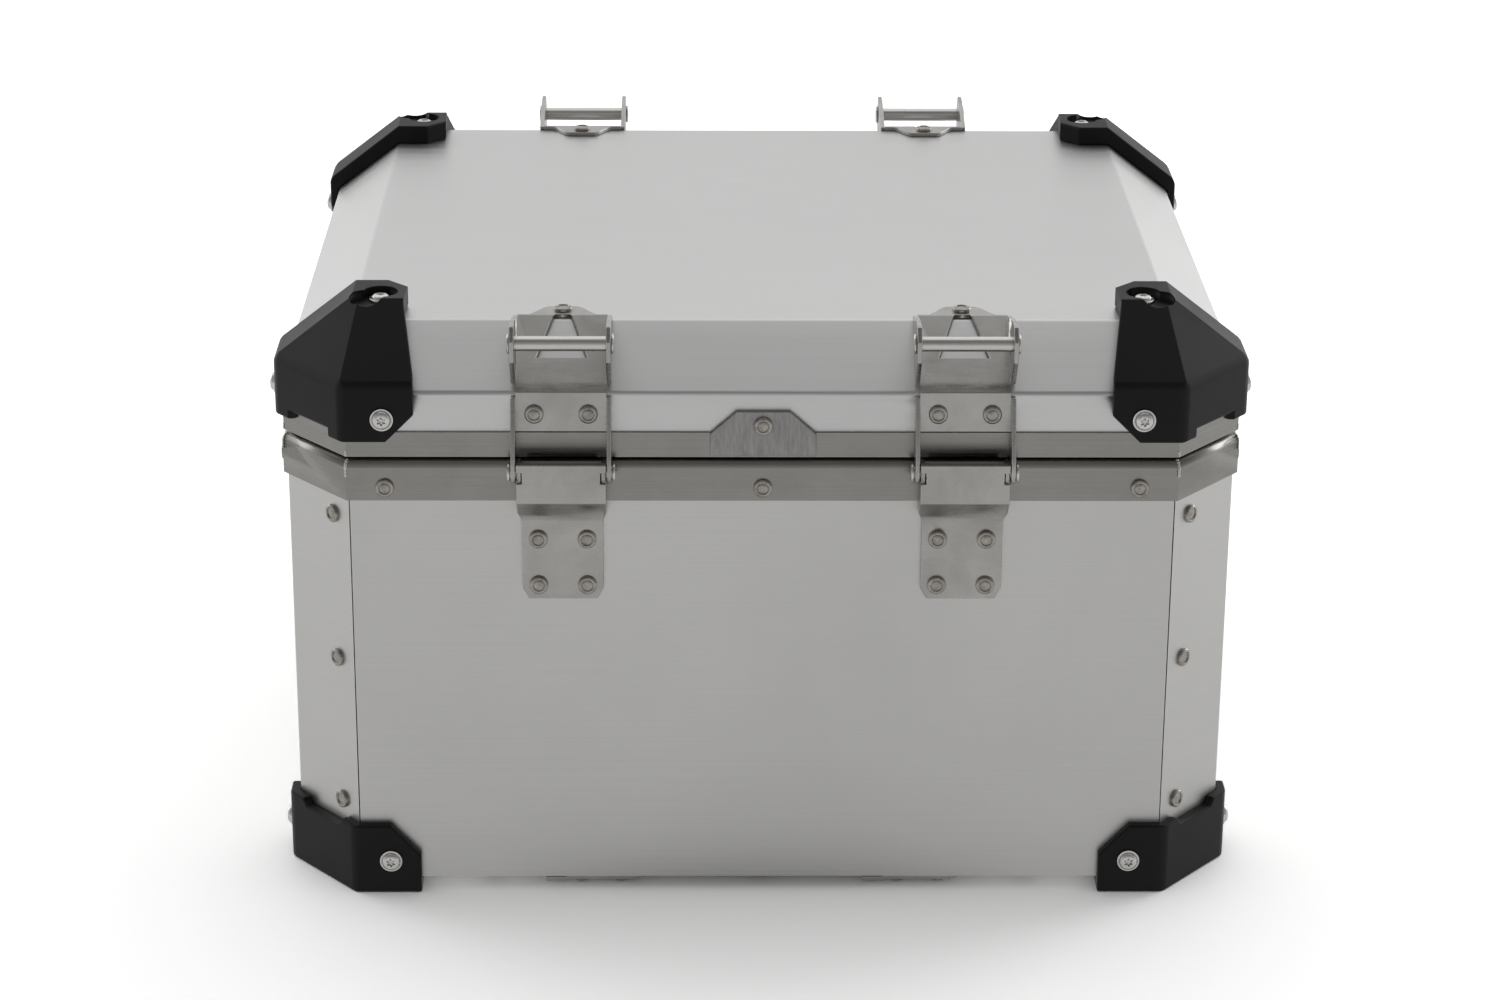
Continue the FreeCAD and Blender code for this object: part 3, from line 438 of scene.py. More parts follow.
RIVET_STEEL = MetalFinish("set_rivet_stainless", (0.23, 0.214, 0.195), (0.46, 0.435, 0.40), 0.22,
                          depth=0.05, streak_roughness=0.12, rubbed=1.0, wear_width=0.4 * MM)
SCREW_STEEL = MetalFinish("bright_screw_stainless", (0.60, 0.59, 0.575), (0.72, 0.71, 0.695), 0.22,
                          streak_roughness=0.07)
LOCK_CHROME = MetalFinish("lock_chrome", (0.60, 0.60, 0.61), (0.68, 0.68, 0.69), 0.14,
                          streak_roughness=0.03, patch_roughness=0.03, depth=0.004)
WELD = MetalFinish("weld_bead", (0.36, 0.35, 0.33), (0.62, 0.61, 0.59), 0.30, depth=0.03,
                   streak_roughness=0.1)
CAP_PLASTIC = MouldedFinish("moulded_cap_plastic", (0.006, 0.006, 0.0062), (0.026, 0.026, 0.027),
                            0.45, specular=0.18)
SEAL_RUBBER = MouldedFinish("seal_rubber", (0.006, 0.006, 0.006), (0.012, 0.012, 0.012), 0.72,
                            fineness=900.0, specular=0.2)

Finish = MetalFinish | MouldedFinish


def finish_material(finish: Finish) -> bpy.types.Material:
    """The finish's material, made once."""
    return bpy.data.materials.get(finish.name) or finish.material()


# ---- mesh helpers -------------------------------------------------------------------------
def sealed_mesh(node: str, flats: bool = True) -> bmesh.types.BMesh:
    """Copies a CAD node's triangles into one joined mesh.

    Args:
        node: The CAD node's name.
        flats: True to make each flat stretch a single face.

    Returns:
        The bmesh, normals outwards.
    """
    mesh = bmesh.new()
    mesh.from_mesh(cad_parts[node].data)
    bmesh.ops.remove_doubles(mesh, verts=mesh.verts, dist=JOIN_WITHIN)
    if flats:
        bmesh.ops.dissolve_limit(mesh, angle_limit=math.radians(FLAT_WITHIN), verts=mesh.verts,
                                 edges=mesh.edges)
    bmesh.ops.recalc_face_normals(mesh, faces=mesh.faces)
    return mesh


def place_object(name: str, mesh: bpy.types.Mesh) -> bpy.types.Object:
    """Puts a mesh in the scene under a name, at the origin.

    Args:
        name: The object's name.
        mesh: Its mesh.

    Returns:
        The object.
    """
    piece = bpy.data.objects.new(name, mesh)
    bpy.context.scene.collection.objects.link(piece)
    return piece


def settled(piece: bpy.types.Object) -> None:
    """Turns a piece's modifiers into its own plain mesh.

    Args:
        piece: The object, whose modifiers are then gone.
    """
    graph = bpy.context.evaluated_depsgraph_get()
    graph.update()
    final = bpy.data.meshes.new_from_object(piece.evaluated_get(graph), depsgraph=graph)
    piece.modifiers.clear()
    old = piece.data
    piece.data = final
    bpy.data.meshes.remove(old)


@dataclass(frozen=True)
class Easing:
    """How far one kind of edge is rounded: its turn in degrees, least length and width."""

    turn_from: float
    turn_to: float
    width: float
    least_length: float = 0.0


def eased(node: str, rules: tuple[Easing, ...], segments: int = 2,
          sharp: float = 50.0) -> bpy.types.Object:
    """Rounds a CAD node's outward edges by rules, no wider than their neighbours allow.

    Args:
        node: The CAD node's name.
        rules: Easings, of which the first that fits an edge counts.
        segments: Steps across each rounding.
        sharp: Turn in degrees from which shading stays sharp.

    Returns:
        The piece, with a plain mesh.
    """
    name = node + "_eased"
    mesh = sealed_mesh(node)
    widest = max(rule.width for rule in rules)
    layer = mesh.edges.layers.float.new("bevel_weight_edge")
    for edge in mesh.edges:
        if len(edge.link_faces) != 2:
            continue
        turn = math.degrees(edge.calc_face_angle_signed(0.0))
        rule = next((r for r in rules if r.turn_from <= turn < r.turn_to
                     and edge.calc_length() >= r.least_length), None)
        if rule is not None:
            edge[layer] = min(rule.width, spare_room(edge)) / widest
    shape = bpy.data.meshes.new(name)
    mesh.to_mesh(shape)
    mesh.free()
    piece = place_object(name, shape)
    bevel = piece.modifiers.new("easing", "BEVEL")
    bevel.limit_method = "WEIGHT"
    bevel.width = widest
    bevel.segments = segments
    bevel.use_clamp_overlap = False
    bevel.miter_outer = "MITER_SHARP"
    settled(piece)
    grown = surface(piece.data) / surface(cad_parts[node].data)
    if not LEAST_SURFACE < grown < MOST_SURFACE:
        LOG.info("%s: easing gave %.3f of the surface, left as it is", node, grown)
        bpy.data.objects.remove(piece)
        return plain(node, sharp)
    shade(piece, sharp)
    return piece


def plain(node: str, sharp: float = 32.0) -> bpy.types.Object:
    """A joined copy of a CAD node with smooth bends and sharp edges.

    Args:
        node: The CAD node's name.
        sharp: Turn in degrees from which shading stays sharp.

    Returns:
        The piece.
    """
    mesh = sealed_mesh(node, flats=False)
    shape = bpy.data.meshes.new(node + "_dressed")
    mesh.to_mesh(shape)
    mesh.free()
    piece = place_object(node + "_dressed", shape)
    shade(piece, sharp)
    return piece


def surface(mesh: bpy.types.Mesh) -> float:
    """The mesh's whole area, as its triangles give it."""
    mesh.calc_loop_triangles()
    return sum(t.area for t in mesh.loop_triangles)


def shade(piece: bpy.types.Object, sharp: float) -> None:
    """Shades a piece smooth but for its sharp edges, with its flats kept flat.

    Args:
        piece: The piece.
        sharp: Turn in degrees from which shading stays sharp.
    """
    piece.data.polygons.foreach_set("use_smooth", [True] * len(piece.data.polygons))
    piece.data.set_sharp_from_angle(angle=math.radians(sharp))
    weighted = piece.modifiers.new("flats", "WEIGHTED_NORMAL")
    weighted.keep_sharp = True
    weighted.weight = 100
    settled(piece)


def spare_room(edge: bmesh.types.BMEdge) -> float:
    """How wide an edge may be rounded before it meets the next edge round its faces.

    Args:
        edge: The edge.

    Returns:
        The width in metres.
    """
    room = 1.0
    along = (edge.verts[1].co - edge.verts[0].co).normalized()
    for loop in edge.link_loops:
        for other in (loop.link_loop_prev.edge, loop.link_loop_next.edge):
            way = other.verts[1].co - other.verts[0].co
            if way.length > 1e-9 and abs(way.normalized().dot(along)) < 0.9:
                room = min(room, 0.4 * way.length)
    return room


def dress(piece: bpy.types.Object, body: str, finish: Finish, slot: str, *nodes: str) -> None:
    """Gives a piece its finish, its body and the CAD nodes that it stands for.

    Args:
        piece: The piece.
        body: The CAD body that it rides on.
        finish: Its finish.
        slot: The record's material slot; not used.
        *nodes: The CAD nodes that it replaces.
    """
    piece.data.materials.clear()
    piece.data.materials.append(finish_material(finish))
    piece.data.polygons.foreach_set("material_index", [0] * len(piece.data.polygons))
    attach(piece, body)
    if nodes:
        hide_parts(*nodes)
    LOG.info("%s: %d faces on %s", piece.name, len(piece.data.polygons), body)


# ---- fasteners ----------------------------------------------------------------------------
@dataclass(frozen=True)
class Seat:
    """Where one fastener sits: the point under its head, its outward way and its depth."""

    place: Vector
    outward: Vector
    depth: float


def seats_of(node: str) -> list[Seat]:
    """Finds the separate fasteners in a CAD node.

    Args:
        node: The node's name.

    Returns:
        One seat per solid, found from its flat faces: most of their area looks inwards on a
        rivet or a screw. A nut's two flats are alike, so either is taken, and the nut then
        stands its own height away from its CAD place.
    """
    mesh = sealed_mesh(node)
    left = set(mesh.faces)
    seats = []
    while left:
        stack = [left.pop()]
        island = list(stack)
        while stack:
            for edge in stack.pop().edges:
                for face in edge.link_faces:
                    if face in left:
                        left.remove(face)
                        stack.append(face)
                        island.append(face)
        areas: dict[tuple, float] = {}
        for face in island:
            key = tuple(round(c, 2) + 0.0 for c in face.normal)
            areas[key] = areas.get(key, 0.0) + face.calc_area()
        inward = max(areas, key=areas.get)
        flats = [f for f in island if tuple(round(c, 2) + 0.0 for c in f.normal) == inward]
        outward = -sum((f.normal * f.calc_area() for f in flats), Vector()).normalized()
        total = sum(f.calc_area() for f in flats)
        centre = sum((flat_centre(f) * f.calc_area() for f in flats), Vector()) / total
        top = max(f.verts[0].co.dot(outward) for f in flats)
        low = min(v.co.dot(outward) for f in island for v in f.verts)
        place = centre + outward * (top - centre.dot(outward))
        seats.append(Seat(place, outward, top - low))
    mesh.free()
    return sorted(seats, key=lambda s: tuple(round(c, 5) for c in s.place))


def flat_centre(face: bmesh.types.BMFace) -> Vector:
    """Finds the area centre of a face that may have a hole bridged into it.

    Args:
        face: The face.

    Returns:
        The centre.
    """
    first = face.verts[0].co
    total = 0.0
    centre = Vector()
    for a, b in zip(face.verts[1:-1], face.verts[2:]):
        area = (a.co - first).cross(b.co - first).dot(face.normal) / 2
        centre += (first + a.co + b.co) / 3 * area
        total += area
    return centre / total


def spun(name: str, rings: list[Callable[[float], tuple[float, float]]], steps: int,
         capped: bool = True) -> bpy.types.Object:
    """Lofts rings about local Z into a closed mesh.

    Args:
        name: The mesh's name.
        rings: Each gives (radius, height) in millimetres at an angle.
        steps: Points round each ring.
        capped: True to close the first and last ring, False to join them to each other.

    Returns:
        An object outside the scene, to be used by a node tree.
    """
    mesh = bmesh.new()
    loops = []
    for ring in rings:
        loop = []
        for i in range(steps):
            angle = 2 * math.pi * i / steps
            radius, height = ring(angle)
            loop.append(mesh.verts.new((radius * MM * math.cos(angle),
                                        radius * MM * math.sin(angle), height * MM)))
        loops.append(loop)
    pairs = list(zip(loops, loops[1:])) + ([] if capped else [(loops[-1], loops[0])])
    for low, high in pairs:
        for i in range(steps):
            j = (i + 1) % steps
            mesh.faces.new((low[i], low[j], high[j], high[i]))
    if capped:
        mesh.faces.new(list(reversed(loops[0])))
        mesh.faces.new(loops[-1])
    bmesh.ops.recalc_face_normals(mesh, faces=mesh.faces)
    for face in mesh.faces:
        face.smooth = True
    for edge in mesh.edges:
        if len(edge.link_faces) == 2 and edge.calc_face_angle(0.0) > math.radians(38):
            edge.smooth = False
    shape = bpy.data.meshes.new(name)
    mesh.to_mesh(shape)
    mesh.free()
    return bpy.data.objects.new(name, shape)


def circle(radius: float, height: float) -> Callable[[float], tuple[float, float]]:
    """A round ring of a lofted fastener."""
    return lambda angle: (radius, height)


def lobed(radius: float, lobe: float, height: float) -> Callable[[float], tuple[float, float]]:
    """A six-lobed ring of a driver socket."""
    return lambda angle: (radius + lobe * math.cos(6 * angle), height)


def hexagon(flat: float, corner: float, height: float) -> Callable[[float], tuple[float, float]]:
    """A six-sided ring, its corners cut back to a round.

    Args:
        flat: Radius at the middle of a flat.
        corner: Radius that the corners are cut back to.
        height: The ring's height.

    Returns:
        The ring.
    """
    def ring(angle: float) -> tuple[float, float]:
        """Radius and height at an angle."""
        turn = (angle + math.pi / 6) % (math.pi / 3) - math.pi / 6
        return min(flat / math.cos(turn), corner), height
    return ring


class Fastener(Enum):
    """Kinds of fastener, and the ripple of a weld bead, that the case is put together with."""

    RIVET = "rivet"
    SCREW = "screw"
    NUT = "nut"
    RIPPLE = "ripple"

    def shape(self, depth: float) -> bpy.types.Object:
        """Builds one fastener, seated at local height 0.

        Args:
            depth: How far it reaches below its seat, in metres.

        Returns:
            The object.
        """
        low = -depth / MM
        if self is Fastener.RIVET:
            tail = low + 1.4
            rings = [circle(*p) for p in (
                (1.1, low + 0.1), (2.9, low), (3.4, low + 0.45), (3.4, tail - 0.15), (2.4, tail),
                (2.4, 0.0), (3.92, 0.0), (4.0, 0.15), (4.0, 1.0), (3.9, 1.3), (3.62, 1.5),
                (3.1, 1.66), (2.72, 1.68), (2.6, 1.56), (2.5, 1.16), (2.36, 1.12), (2.24, 1.3),
                (2.05, 1.42), (0.6, 1.5))]
            return spun("rivet_%.1f" % low, rings, 28)
        if self is Fastener.SCREW:
            rings = [circle(*p) for p in (
                (1.8, low), (2.5, low + 0.6), (2.5, 0.0), (4.85, 0.0), (5.0, 0.15), (5.0, 0.85),
                (4.86, 1.05), (4.5, 1.1), (4.28, 0.82), (4.16, 0.86), (3.98, 1.5), (3.6, 2.1),
                (3.05, 2.5), (2.45, 2.7))]
            rings += [lobed(1.72, 0.38, 2.76), lobed(1.62, 0.38, 2.62), lobed(1.6, 0.38, 0.9),
                      circle(0.62, 0.7), circle(0.55, 1.5), circle(0.3, 1.6)]
            return spun("screw_%.1f" % low, rings, 48)
        if self is Fastener.RIPPLE:
            return spun("ripple", [circle(*p) for p in ((0.3, -0.3), (0.55, -0.1), (0.52, 0.04),
                                                        (0.34, 0.15), (0.1, 0.19))], 10)
        rings = [circle(2.6, -3.95), hexagon(3.98, 4.1, -4.0), hexagon(3.98, 4.55, -3.7),
                 hexagon(3.98, 4.55, -0.3), hexagon(3.98, 4.1, 0.0), circle(2.6, -0.05)]
        return spun("nut", rings, 36, capped=False)


class FastenerField:
    """Geometry Nodes tree that puts one fastener on each point of a mesh."""

    def __init__(self) -> None:
        """Builds the tree with its named inputs."""
        group = bpy.data.node_groups.new("fastener_field", "GeometryNodeTree")
        sockets = group.interface
        sockets.new_socket("Seats", in_out="INPUT", socket_type="NodeSocketGeometry")
        sockets.new_socket("Fastener", in_out="INPUT", socket_type="NodeSocketObject")
        sockets.new_socket("Finish", in_out="INPUT", socket_type="NodeSocketMaterial")
        sockets.new_socket("Spin Seed", in_out="INPUT", socket_type="NodeSocketInt")
        sockets.new_socket("Size Spread", in_out="INPUT", socket_type="NodeSocketFloat")
        sockets.new_socket("Set", in_out="OUTPUT", socket_type="NodeSocketGeometry")
        tree = Tree(group)
        source = tree.add("NodeGroupInput").outputs
        outward = tree.add("GeometryNodeInputNamedAttribute", {"data_type": "FLOAT_VECTOR"},
                           Name="outward").outputs["Attribute"]
        stand = tree.add("FunctionNodeAlignRotationToVector", {"axis": "Z"}, Vector=outward)
        chance = tree.add("FunctionNodeRandomValue", {"data_type": "FLOAT"},
                          Seed=source["Spin Seed"])
        tree.feed(chance.inputs[3], 2 * math.pi)
        turn = tree.add("FunctionNodeAxisAngleToRotation", None, Axis=(0.0, 0.0, 1.0),
                        Angle=chance.outputs[1])
        spun_way = tree.add("FunctionNodeRotateRotation", {"rotation_space": "LOCAL"},
                            Rotation=stand.outputs[0], Rotate_By=turn.outputs[0])
        shape = tree.add("GeometryNodeObjectInfo", None, Object=source["Fastener"])
        shape.inputs["As Instance"].default_value = True
        spread = tree.add("FunctionNodeRandomValue", {"data_type": "FLOAT"},
                          Seed=source["Spin Seed"])
        tree.feed(spread.inputs[2], tree.maths("SUBTRACT", 1.0, source["Size Spread"]))
        tree.feed(spread.inputs[3], tree.maths("ADD", 1.0, source["Size Spread"]))
        placed = tree.add("GeometryNodeInstanceOnPoints", None, Points=source["Seats"],
                          Instance=shape.outputs["Geometry"], Rotation=spun_way.outputs[0],
                          Scale=spread.outputs[1])
        real = tree.add("GeometryNodeRealizeInstances", None, Geometry=placed.outputs[0])
        coloured = tree.add("GeometryNodeSetMaterial", None, Geometry=real.outputs[0],
                            Material=source["Finish"])
        tree.feed(tree.add("NodeGroupOutput").inputs["Set"], coloured.outputs[0])
        self.group = group

    def scatter(self, name: str, seats: list[Seat], kind: Fastener, finish: Finish, seed: int,
                spread: float = 0.0) -> bpy.types.Object:
        """Puts one fastener on each seat.

        Args:
            name: The new object's name.
            seats: Where they sit.
            kind: What they are.
            finish: Their finish.
            seed: Seed of their turn about their own axes.
            spread: How far their sizes differ, as a share.

        Returns:
            The piece, with a plain mesh.
        """
        points = bpy.data.meshes.new(name + "_seats")
        points.from_pydata([s.place for s in seats], [], [])
        ways = points.attributes.new("outward", "FLOAT_VECTOR", "POINT")
        ways.data.foreach_set("vector", [c for s in seats for c in s.outward])
        piece = place_object(name, points)
        depth = sorted(s.depth for s in seats)[len(seats) // 2]
        maker = piece.modifiers.new("field", "NODES")
        maker.node_group = self.group
        named = {item.name: item.identifier for item in self.group.interface.items_tree}
        maker[named["Fastener"]] = kind.shape(depth)
        maker[named["Finish"]] = finish_material(finish)
        maker[named["Spin Seed"]] = seed
        maker[named["Size Spread"]] = spread
        settled(piece)
        return piece

    def fill(self, node: str, body: str, kind: Fastener, finish: Finish, slot: str,
             seed: int) -> None:
        """Replaces a CAD node's fasteners with detailed ones.

        Args:
            node: The CAD node of one or more like fasteners.
            body: The body that they ride on.
            kind: What they are.
            finish: Their finish.
            slot: The record's material slot.
            seed: Seed of their turn about their own axes.
        """
        dress(self.scatter(node + "_set", seats_of(node), kind, finish, seed), body, finish, slot,
              node)


# ---- sub-assemblies -----------------------------------------------------------------------
STEEL_EDGES = (Easing(28.0, 180.0, 0.45 * MM),)


@dataclass
class SheetBody:
    """Riveted walls, floor and rim of the case."""

    body: str = "case"

    def build(self) -> None:
        """Dresses the walls, floor and rim."""
        for node in ("front_panel", "rear_panel", "left_panel", "right_panel", "floor_sheet"):
            dress(plain(node), self.body, WALL_SHEET, "sheet_aluminium", node)
        # The rim's colour carries painted shade, darkened to stand in for its darker reflection.
        dress(plain("body_rim"), self.body, RIM_ALUMINIUM_PAINTED_SHADE, "frame_aluminium", "body_rim")


@dataclass
class Lid:
    """Bent lid sheet with its frame, seal and joint plates."""

    body: str = "lid"

    def build(self) -> None:
        """Dresses the lid's own parts."""
        for node, finish, slot in (("lid_sheet", LID_SHEET, "sheet_aluminium"),
                                   ("lid_frame", RIM_ALUMINIUM_PAINTED_SHADE, "frame_aluminium"),
                                   # The lid's frame shares the rim's colour with painted shade.
                                   ("lid_seal", SEAL_RUBBER, "seal_rubber")):
            dress(plain(node), self.body, finish, slot, node)
        for end in ENDS:
            node = "joint_plate_" + end
            plate = eased(node, STEEL_EDGES)
            dress(plate, self.body, JOINT_PLATE, "frame_aluminium", node)


@dataclass
class MouldedCaps:
    """Moulded corner caps below and above, with soft facet edges."""

    facet: float = 3.2 * MM
    outline: float = 1.1 * MM
    bore: float = 0.3 * MM

    def build(self) -> None:
        """Dresses the eight caps."""
        rules = (Easing(14.0, 62.0, self.facet, 12.0 * MM),
                 Easing(62.0, 180.0, self.outline, 2.5 * MM),
                 Easing(28.0, 180.0, self.bore))
        for body, low in (("case", "lower_cap"), ("lid", "upper_cap")):
            for end in ENDS:
                for side in SIDES:
                    node = "%s_%s_%s" % (low, end, side)
                    cap = eased(node, rules, segments=4, sharp=60.0)
                    dress(cap, body, CAP_PLASTIC, "black_plastic", node)


@dataclass
class Brackets:
    """Hinges, catches, tie bars and rails of stainless steel."""

    edges: tuple[Easing, ...] = STEEL_EDGES

    def build(self) -> None:
        """Dresses the steel parts."""
        for side in SIDES:
            plates = {"hinge_bracket": "lid", "catch_bracket": "lid", "hinge_base": "case",
                      "latch_base": "case", "rack_rail": "case"}
            for kind, body in plates.items():
                self.steel("%s_%s" % (kind, side), body, BRACKET_STEEL)
            for end in ENDS:
                self.steel("tie_bar_%s_%s" % (end, side), "lid", BAR_STEEL)
            self.steel("catch_rod_" + side, "lid", BAR_STEEL)
        self.steel("hinge_pins", "case", BAR_STEEL)
        self.steel("lever_pins", "case", BAR_STEEL)

    def steel(self, node: str, body: str, finish: Finish) -> None:
        """Eases and dresses one steel node."""
        piece = eased(node, self.edges)
        dress(piece, body, finish, "bracket_steel", node)


@dataclass
class Latches:
    """Levers, claws and key locks."""

    edges: tuple[Easing, ...] = STEEL_EDGES

    def build(self) -> None:
        """Dresses both latches."""
        for side in SIDES:
            for kind in ("latch_lever", "latch_claw"):
                node = "%s_%s" % (kind, side)
                piece = eased(node, self.edges)
                dress(piece, "latch_" + side, BRACKET_STEEL, "bracket_steel", node)
            for kind, body in (("lock_housing", "latch_"), ("lock_plug", "lock_")):
                node = "%s_%s" % (kind, side)
                piece = eased(node, self.edges)
                dress(piece, body + side, LOCK_CHROME, "lock_chrome", node)


@dataclass
class WeldBeads:
    """Short weld beads on the mitres of the rim and of the lid's frame."""

    field: FastenerField
    pitch: float = 0.4 * MM
    rim_length: float = 7.5 * MM
    frame_length: float = 2.2 * MM
    rim_gap: float = 0.9 * MM
    frame_gap: float = 0.6 * MM
    lean_ends: float = 0.4
    lean_flanks: float = 1.2
    reach: float = 8.0 * MM
    sink: float = 0.3 * MM
    spread: float = 0.35
    first_seed: int = 50

    def build(self) -> None:
        """Runs a bead beside the split at each of the eight mitres above and below it."""
        for seed, (node, body) in enumerate((("body_rim", "case"), ("lid_frame", "lid"))):
            low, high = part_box(node)
            upper = node == "lid_frame"
            start = low.z + self.frame_gap if upper else high.z - self.rim_gap
            way, length = (1.0, self.frame_length) if upper else (-1.0, self.rim_length)
            heights = [start + way * self.pitch * i for i in range(int(length / self.pitch))]
            piece = self.field.scatter(node + "_welds", self.seats(node, heights), Fastener.RIPPLE,
                                       WELD, self.first_seed + seed, self.spread)
            dress(piece, body, WELD, "frame_aluminium")

    def seats(self, node: str, heights: list[float]) -> list[Seat]:
        """Finds points up each mitre of a frame.

        Args:
            node: The frame's CAD node.
            heights: Heights of the points.

        Returns:
            One seat per mitre and height.
        """
        mesh = sealed_mesh(node)
        skin = BVHTree.FromBMesh(mesh)
        widest = max(v.co.x for v in mesh.verts)
        deepest = max(v.co.y for v in mesh.verts)
        ends = (max(v.co.x for v in mesh.verts if v.co.y > deepest - 0.05 * MM), deepest)
        flanks = (widest, max(v.co.y for v in mesh.verts if v.co.x > widest - 0.05 * MM))
        mesh.free()
        seats = []
        for x, y, lean in ((*ends, self.lean_ends), (*flanks, self.lean_flanks)):
            for sx in (-1, 1):
                for sy in (-1, 1):
                    outward = Vector((sx * math.sin(lean), sy * math.cos(lean), 0.0))
                    for z in heights:
                        start = Vector((sx * x, sy * y, z)) + outward * self.reach
                        hit = skin.ray_cast(start, -outward, 2 * self.reach)[0]
                        if hit is not None:
                            seats.append(Seat(hit, outward, self.sink))
        return seats


@dataclass
class Fasteners:
    """Every rivet, screw and nut."""

    field: FastenerField

    def build(self) -> None:
        """Fills each fastener node with detailed fasteners."""
        field = self.field
        rivets = {"corner_rivets": "case", "rim_rivets": "case", "floor_rivets": "case",
                  "rail_rivets": "case", "hinge_base_rivets": "case", "latch_base_rivets": "case",
                  "bracket_rivets": "lid", "joint_plate_rivets": "lid",
                  "claw_rivets_left": "latch_left", "claw_rivets_right": "latch_right"}
        for seed, (node, body) in enumerate(rivets.items()):
            field.fill(node, body, Fastener.RIVET, RIVET_STEEL, "rivet_steel", seed)
        for seed, (low, body) in enumerate((("lower_cap", "case"), ("upper_cap", "lid"))):
            for part, kind, first in (("_screws", Fastener.SCREW, 20), ("_nuts", Fastener.NUT, 30)):
                field.fill(low + part, body, kind, SCREW_STEEL, "fastener_steel", first + seed)


# ---- studio -------------------------------------------------------------------------------
@dataclass(frozen=True)
class Lamp:
    """A soft rectangular lamp that looks at a point of the case."""

    name: str
    place: Point
    size: tuple[float, float]
    power: float
    colour: Colour = (1.0, 1.0, 1.0)

    def build(self, target: Vector) -> None:
        """Makes the lamp.

        Args:
            target: Where it looks.
        """
        light = bpy.data.lights.new(self.name, "AREA")
        light.shape = "RECTANGLE"
        light.size, light.size_y = self.size
        light.energy = self.power
        light.color = self.colour
        lamp = bpy.data.objects.new(self.name, light)
        lamp.location = self.place
        lamp.rotation_mode = "QUATERNION"
        lamp.rotation_quaternion = (target - Vector(self.place)).to_track_quat("-Z", "Y")
        bpy.context.scene.collection.objects.link(lamp)


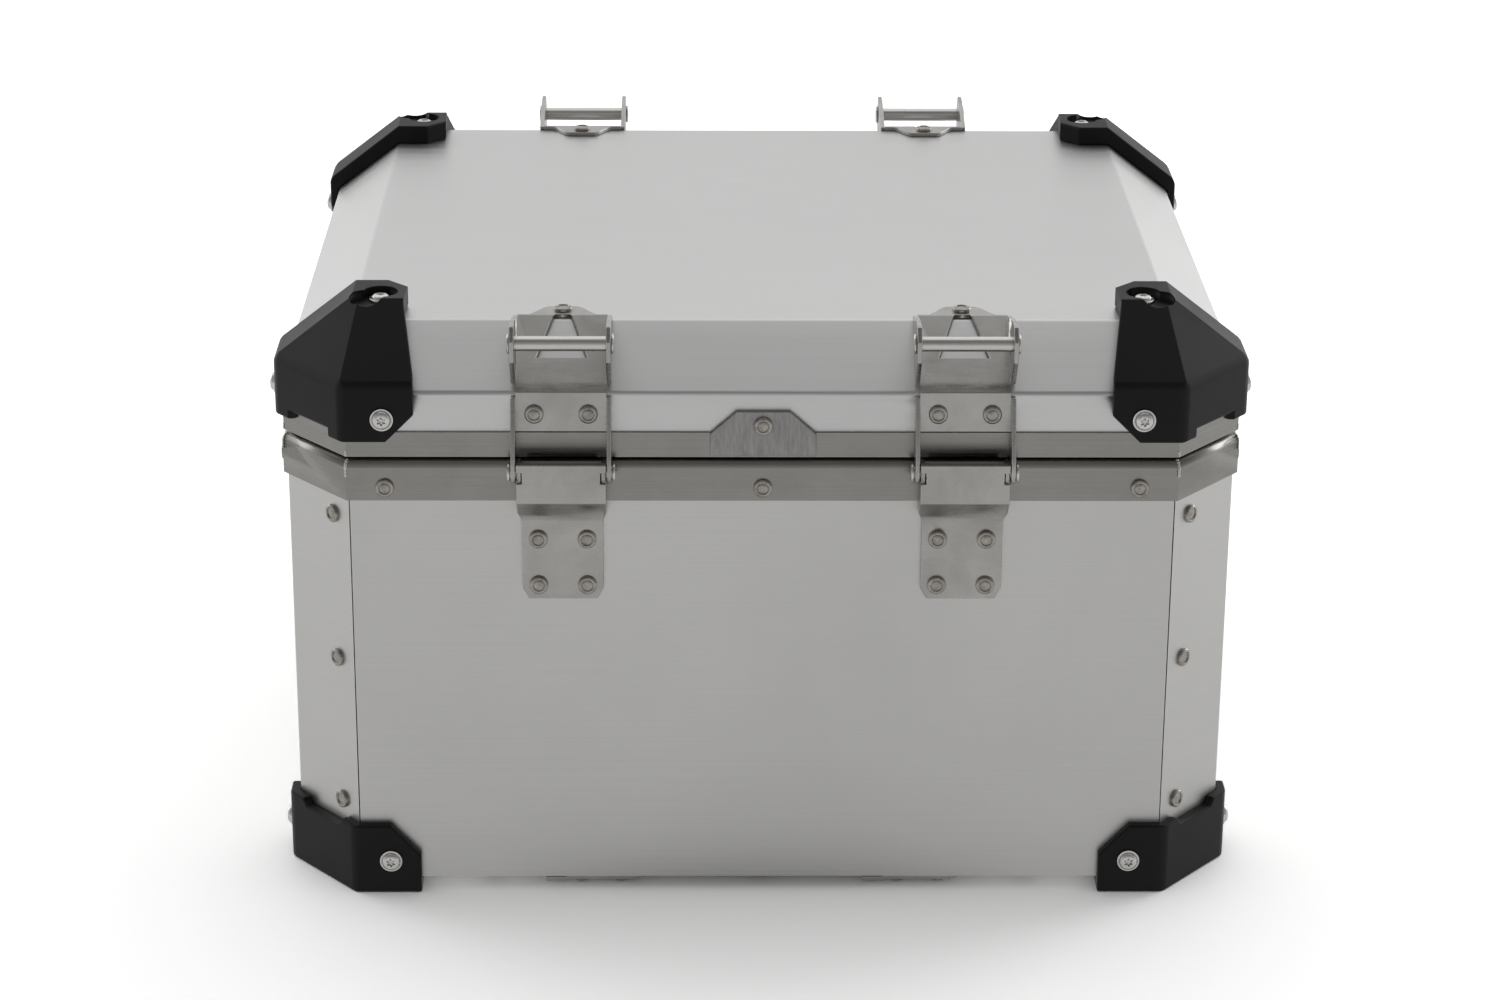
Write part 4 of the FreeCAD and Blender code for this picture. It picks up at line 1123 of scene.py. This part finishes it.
@dataclass
class Studio:
    """Pale floor, soft lamps, even surroundings and the camera."""

    camera_place: Point = (-0.0286, -1.6945, 0.7635)
    heading: float = 0.879
    tilt: float = 20.95
    roll: float = 0.357
    lens: float = 91.4
    floor_gain: float = 1.95
    floor_glow: float = 0.36
    glow_from: float = 0.165
    glow_to: float = 0.23
    floor_radius: float = 9.0
    backdrop: float = 1.05
    aim_height: float = 0.12
    lamps: tuple[Lamp, ...] = (
        Lamp("overhead", (0.0, 1.2, 2.6), (4.4, 3.4), 25.0),
        Lamp("left_fill", (-2.4, 1.7, 0.8), (1.6, 2.0), 13.0),
        Lamp("right_fill", (2.4, 1.7, 0.8), (1.6, 2.0), 21.0),
    )

    def build(self) -> None:
        """Makes the floor, the surroundings, the lamps and the camera."""
        self.floor()
        self.surroundings()
        for lamp in self.lamps:
            lamp.build(Vector((0.0, 0.0, self.aim_height)))
        self.camera()
        bpy.context.scene.view_settings.view_transform = "Standard"

    def floor(self) -> None:
        """Makes the round pale floor. Outside the case's footprint it glows for all but camera
        rays: painted light on the case's lower front, which reflects it.
        """
        mesh = bmesh.new()
        bmesh.ops.create_circle(mesh, cap_ends=True, segments=64, radius=self.floor_radius)
        shape = bpy.data.meshes.new("floor")
        mesh.to_mesh(shape)
        mesh.free()
        floor = place_object("floor", shape)
        material = bpy.data.materials.new("pale_floor")
        material.use_nodes = True
        tree = Tree(material.node_tree)
        place = tree.add("ShaderNodeTexCoord").outputs["Object"]
        patches = effect(tree, Effect.PATCHES, Place=place, Size=FLOOR_PATCHES)
        rough = tree.remap(patches, 0.6, 0.7)
        away = tree.add("ShaderNodeVectorMath", {"operation": "LENGTH"}, Vector=place)
        glow_outside_footprint = tree.add("ShaderNodeMapRange", None, Value=away.outputs["Value"],
                          From_Min=self.glow_from, From_Max=self.glow_to).outputs[0]
        # Painted light: beyond the case's footprint the floor glows, which shows only in what it
        # lights and in reflections.
        lit = tree.add("ShaderNodeBsdfPrincipled", None, Base_Color=(0.6, 0.6, 0.6, 1.0),
                       Roughness=rough, Specular_IOR_Level=0.2, Emission_Strength=self.floor_glow,
                       Emission_Color=glow_outside_footprint)
        seen = tree.add("ShaderNodeBsdfPrincipled", None,
                        Base_Color=(self.floor_gain, self.floor_gain, self.floor_gain, 1.0),
                        Roughness=rough, Specular_IOR_Level=0.0)
        both = tree.add("ShaderNodeMixShader")
        tree.feed(both.inputs[0], tree.add("ShaderNodeLightPath").outputs["Is Camera Ray"])
        tree.feed(both.inputs[1], lit.outputs[0])
        tree.feed(both.inputs[2], seen.outputs[0])
        out = tree.add("ShaderNodeOutputMaterial")
        tree.feed(out.inputs["Surface"], both.outputs[0])
        floor.data.materials.append(material)

    def surroundings(self) -> None:
        """Even white backdrop, whose light on the case falls off towards the front."""
        world = bpy.data.worlds.new("studio")
        bpy.context.scene.world = world
        world.use_nodes = True
        tree = Tree(world.node_tree)
        way = tree.add("ShaderNodeTexCoord").outputs["Generated"]
        parts = tree.add("ShaderNodeSeparateXYZ", None, Vector=way)
        behind = tree.add("ShaderNodeMapRange", None, Value=parts.outputs["Y"], From_Min=-0.5,
                          From_Max=0.4, To_Min=0.42, To_Max=0.92).outputs[0]
        height = tree.add("ShaderNodeMapRange", None, Value=parts.outputs["Z"], From_Min=0.0,
                          From_Max=0.7, To_Min=1.12, To_Max=0.47).outputs[0]
        glow = tree.maths("MULTIPLY", behind, height)
        seen = tree.add("ShaderNodeLightPath").outputs["Is Camera Ray"]
        lit = tree.add("ShaderNodeBackground", None, Strength=glow)
        plain = tree.add("ShaderNodeBackground", None, Strength=self.backdrop)
        for node in (lit, plain):
            node.inputs["Color"].default_value = (1.0, 1.0, 1.0, 1.0)
        both = tree.add("ShaderNodeMixShader")
        tree.feed(both.inputs[0], seen)
        tree.feed(both.inputs[1], lit.outputs[0])
        tree.feed(both.inputs[2], plain.outputs[0])
        out = tree.add("ShaderNodeOutputWorld")
        tree.feed(out.inputs["Surface"], both.outputs[0])

    def camera(self) -> None:
        """Makes the camera and points it."""
        data = bpy.data.cameras.new("camera")
        data.lens = self.lens
        data.sensor_width = 36.0
        data.clip_start = 0.05
        data.clip_end = 60.0
        camera = bpy.data.objects.new("camera", data)
        bpy.context.scene.collection.objects.link(camera)
        yaw, tilt, roll = (math.radians(a) for a in (self.heading, self.tilt, self.roll))
        ahead = Vector((math.sin(yaw) * math.cos(tilt), math.cos(yaw) * math.cos(tilt),
                        -math.sin(tilt)))
        right = Vector((math.cos(yaw), -math.sin(yaw), 0.0))
        up = right.cross(ahead)
        across = math.cos(roll) * right + math.sin(roll) * up
        upright = math.cos(roll) * up - math.sin(roll) * right
        turn = Matrix((across, upright, -ahead)).transposed()
        camera.matrix_world = Matrix.Translation(self.camera_place) @ turn.to_4x4()
        bpy.context.scene.camera = camera


def main() -> None:
    """Builds the studio and every sub-assembly, logging each as it is done."""
    logging.basicConfig(level=logging.INFO, format="%(name)s %(message)s")
    Studio().build()
    field = FastenerField()
    for part in (SheetBody(), Lid(), MouldedCaps(), Brackets(), Latches(), WeldBeads(field),
                 Fasteners(field)):
        part.build()
        LOG.info("%s done", type(part).__name__)


if __name__ == "__main__":
    main()
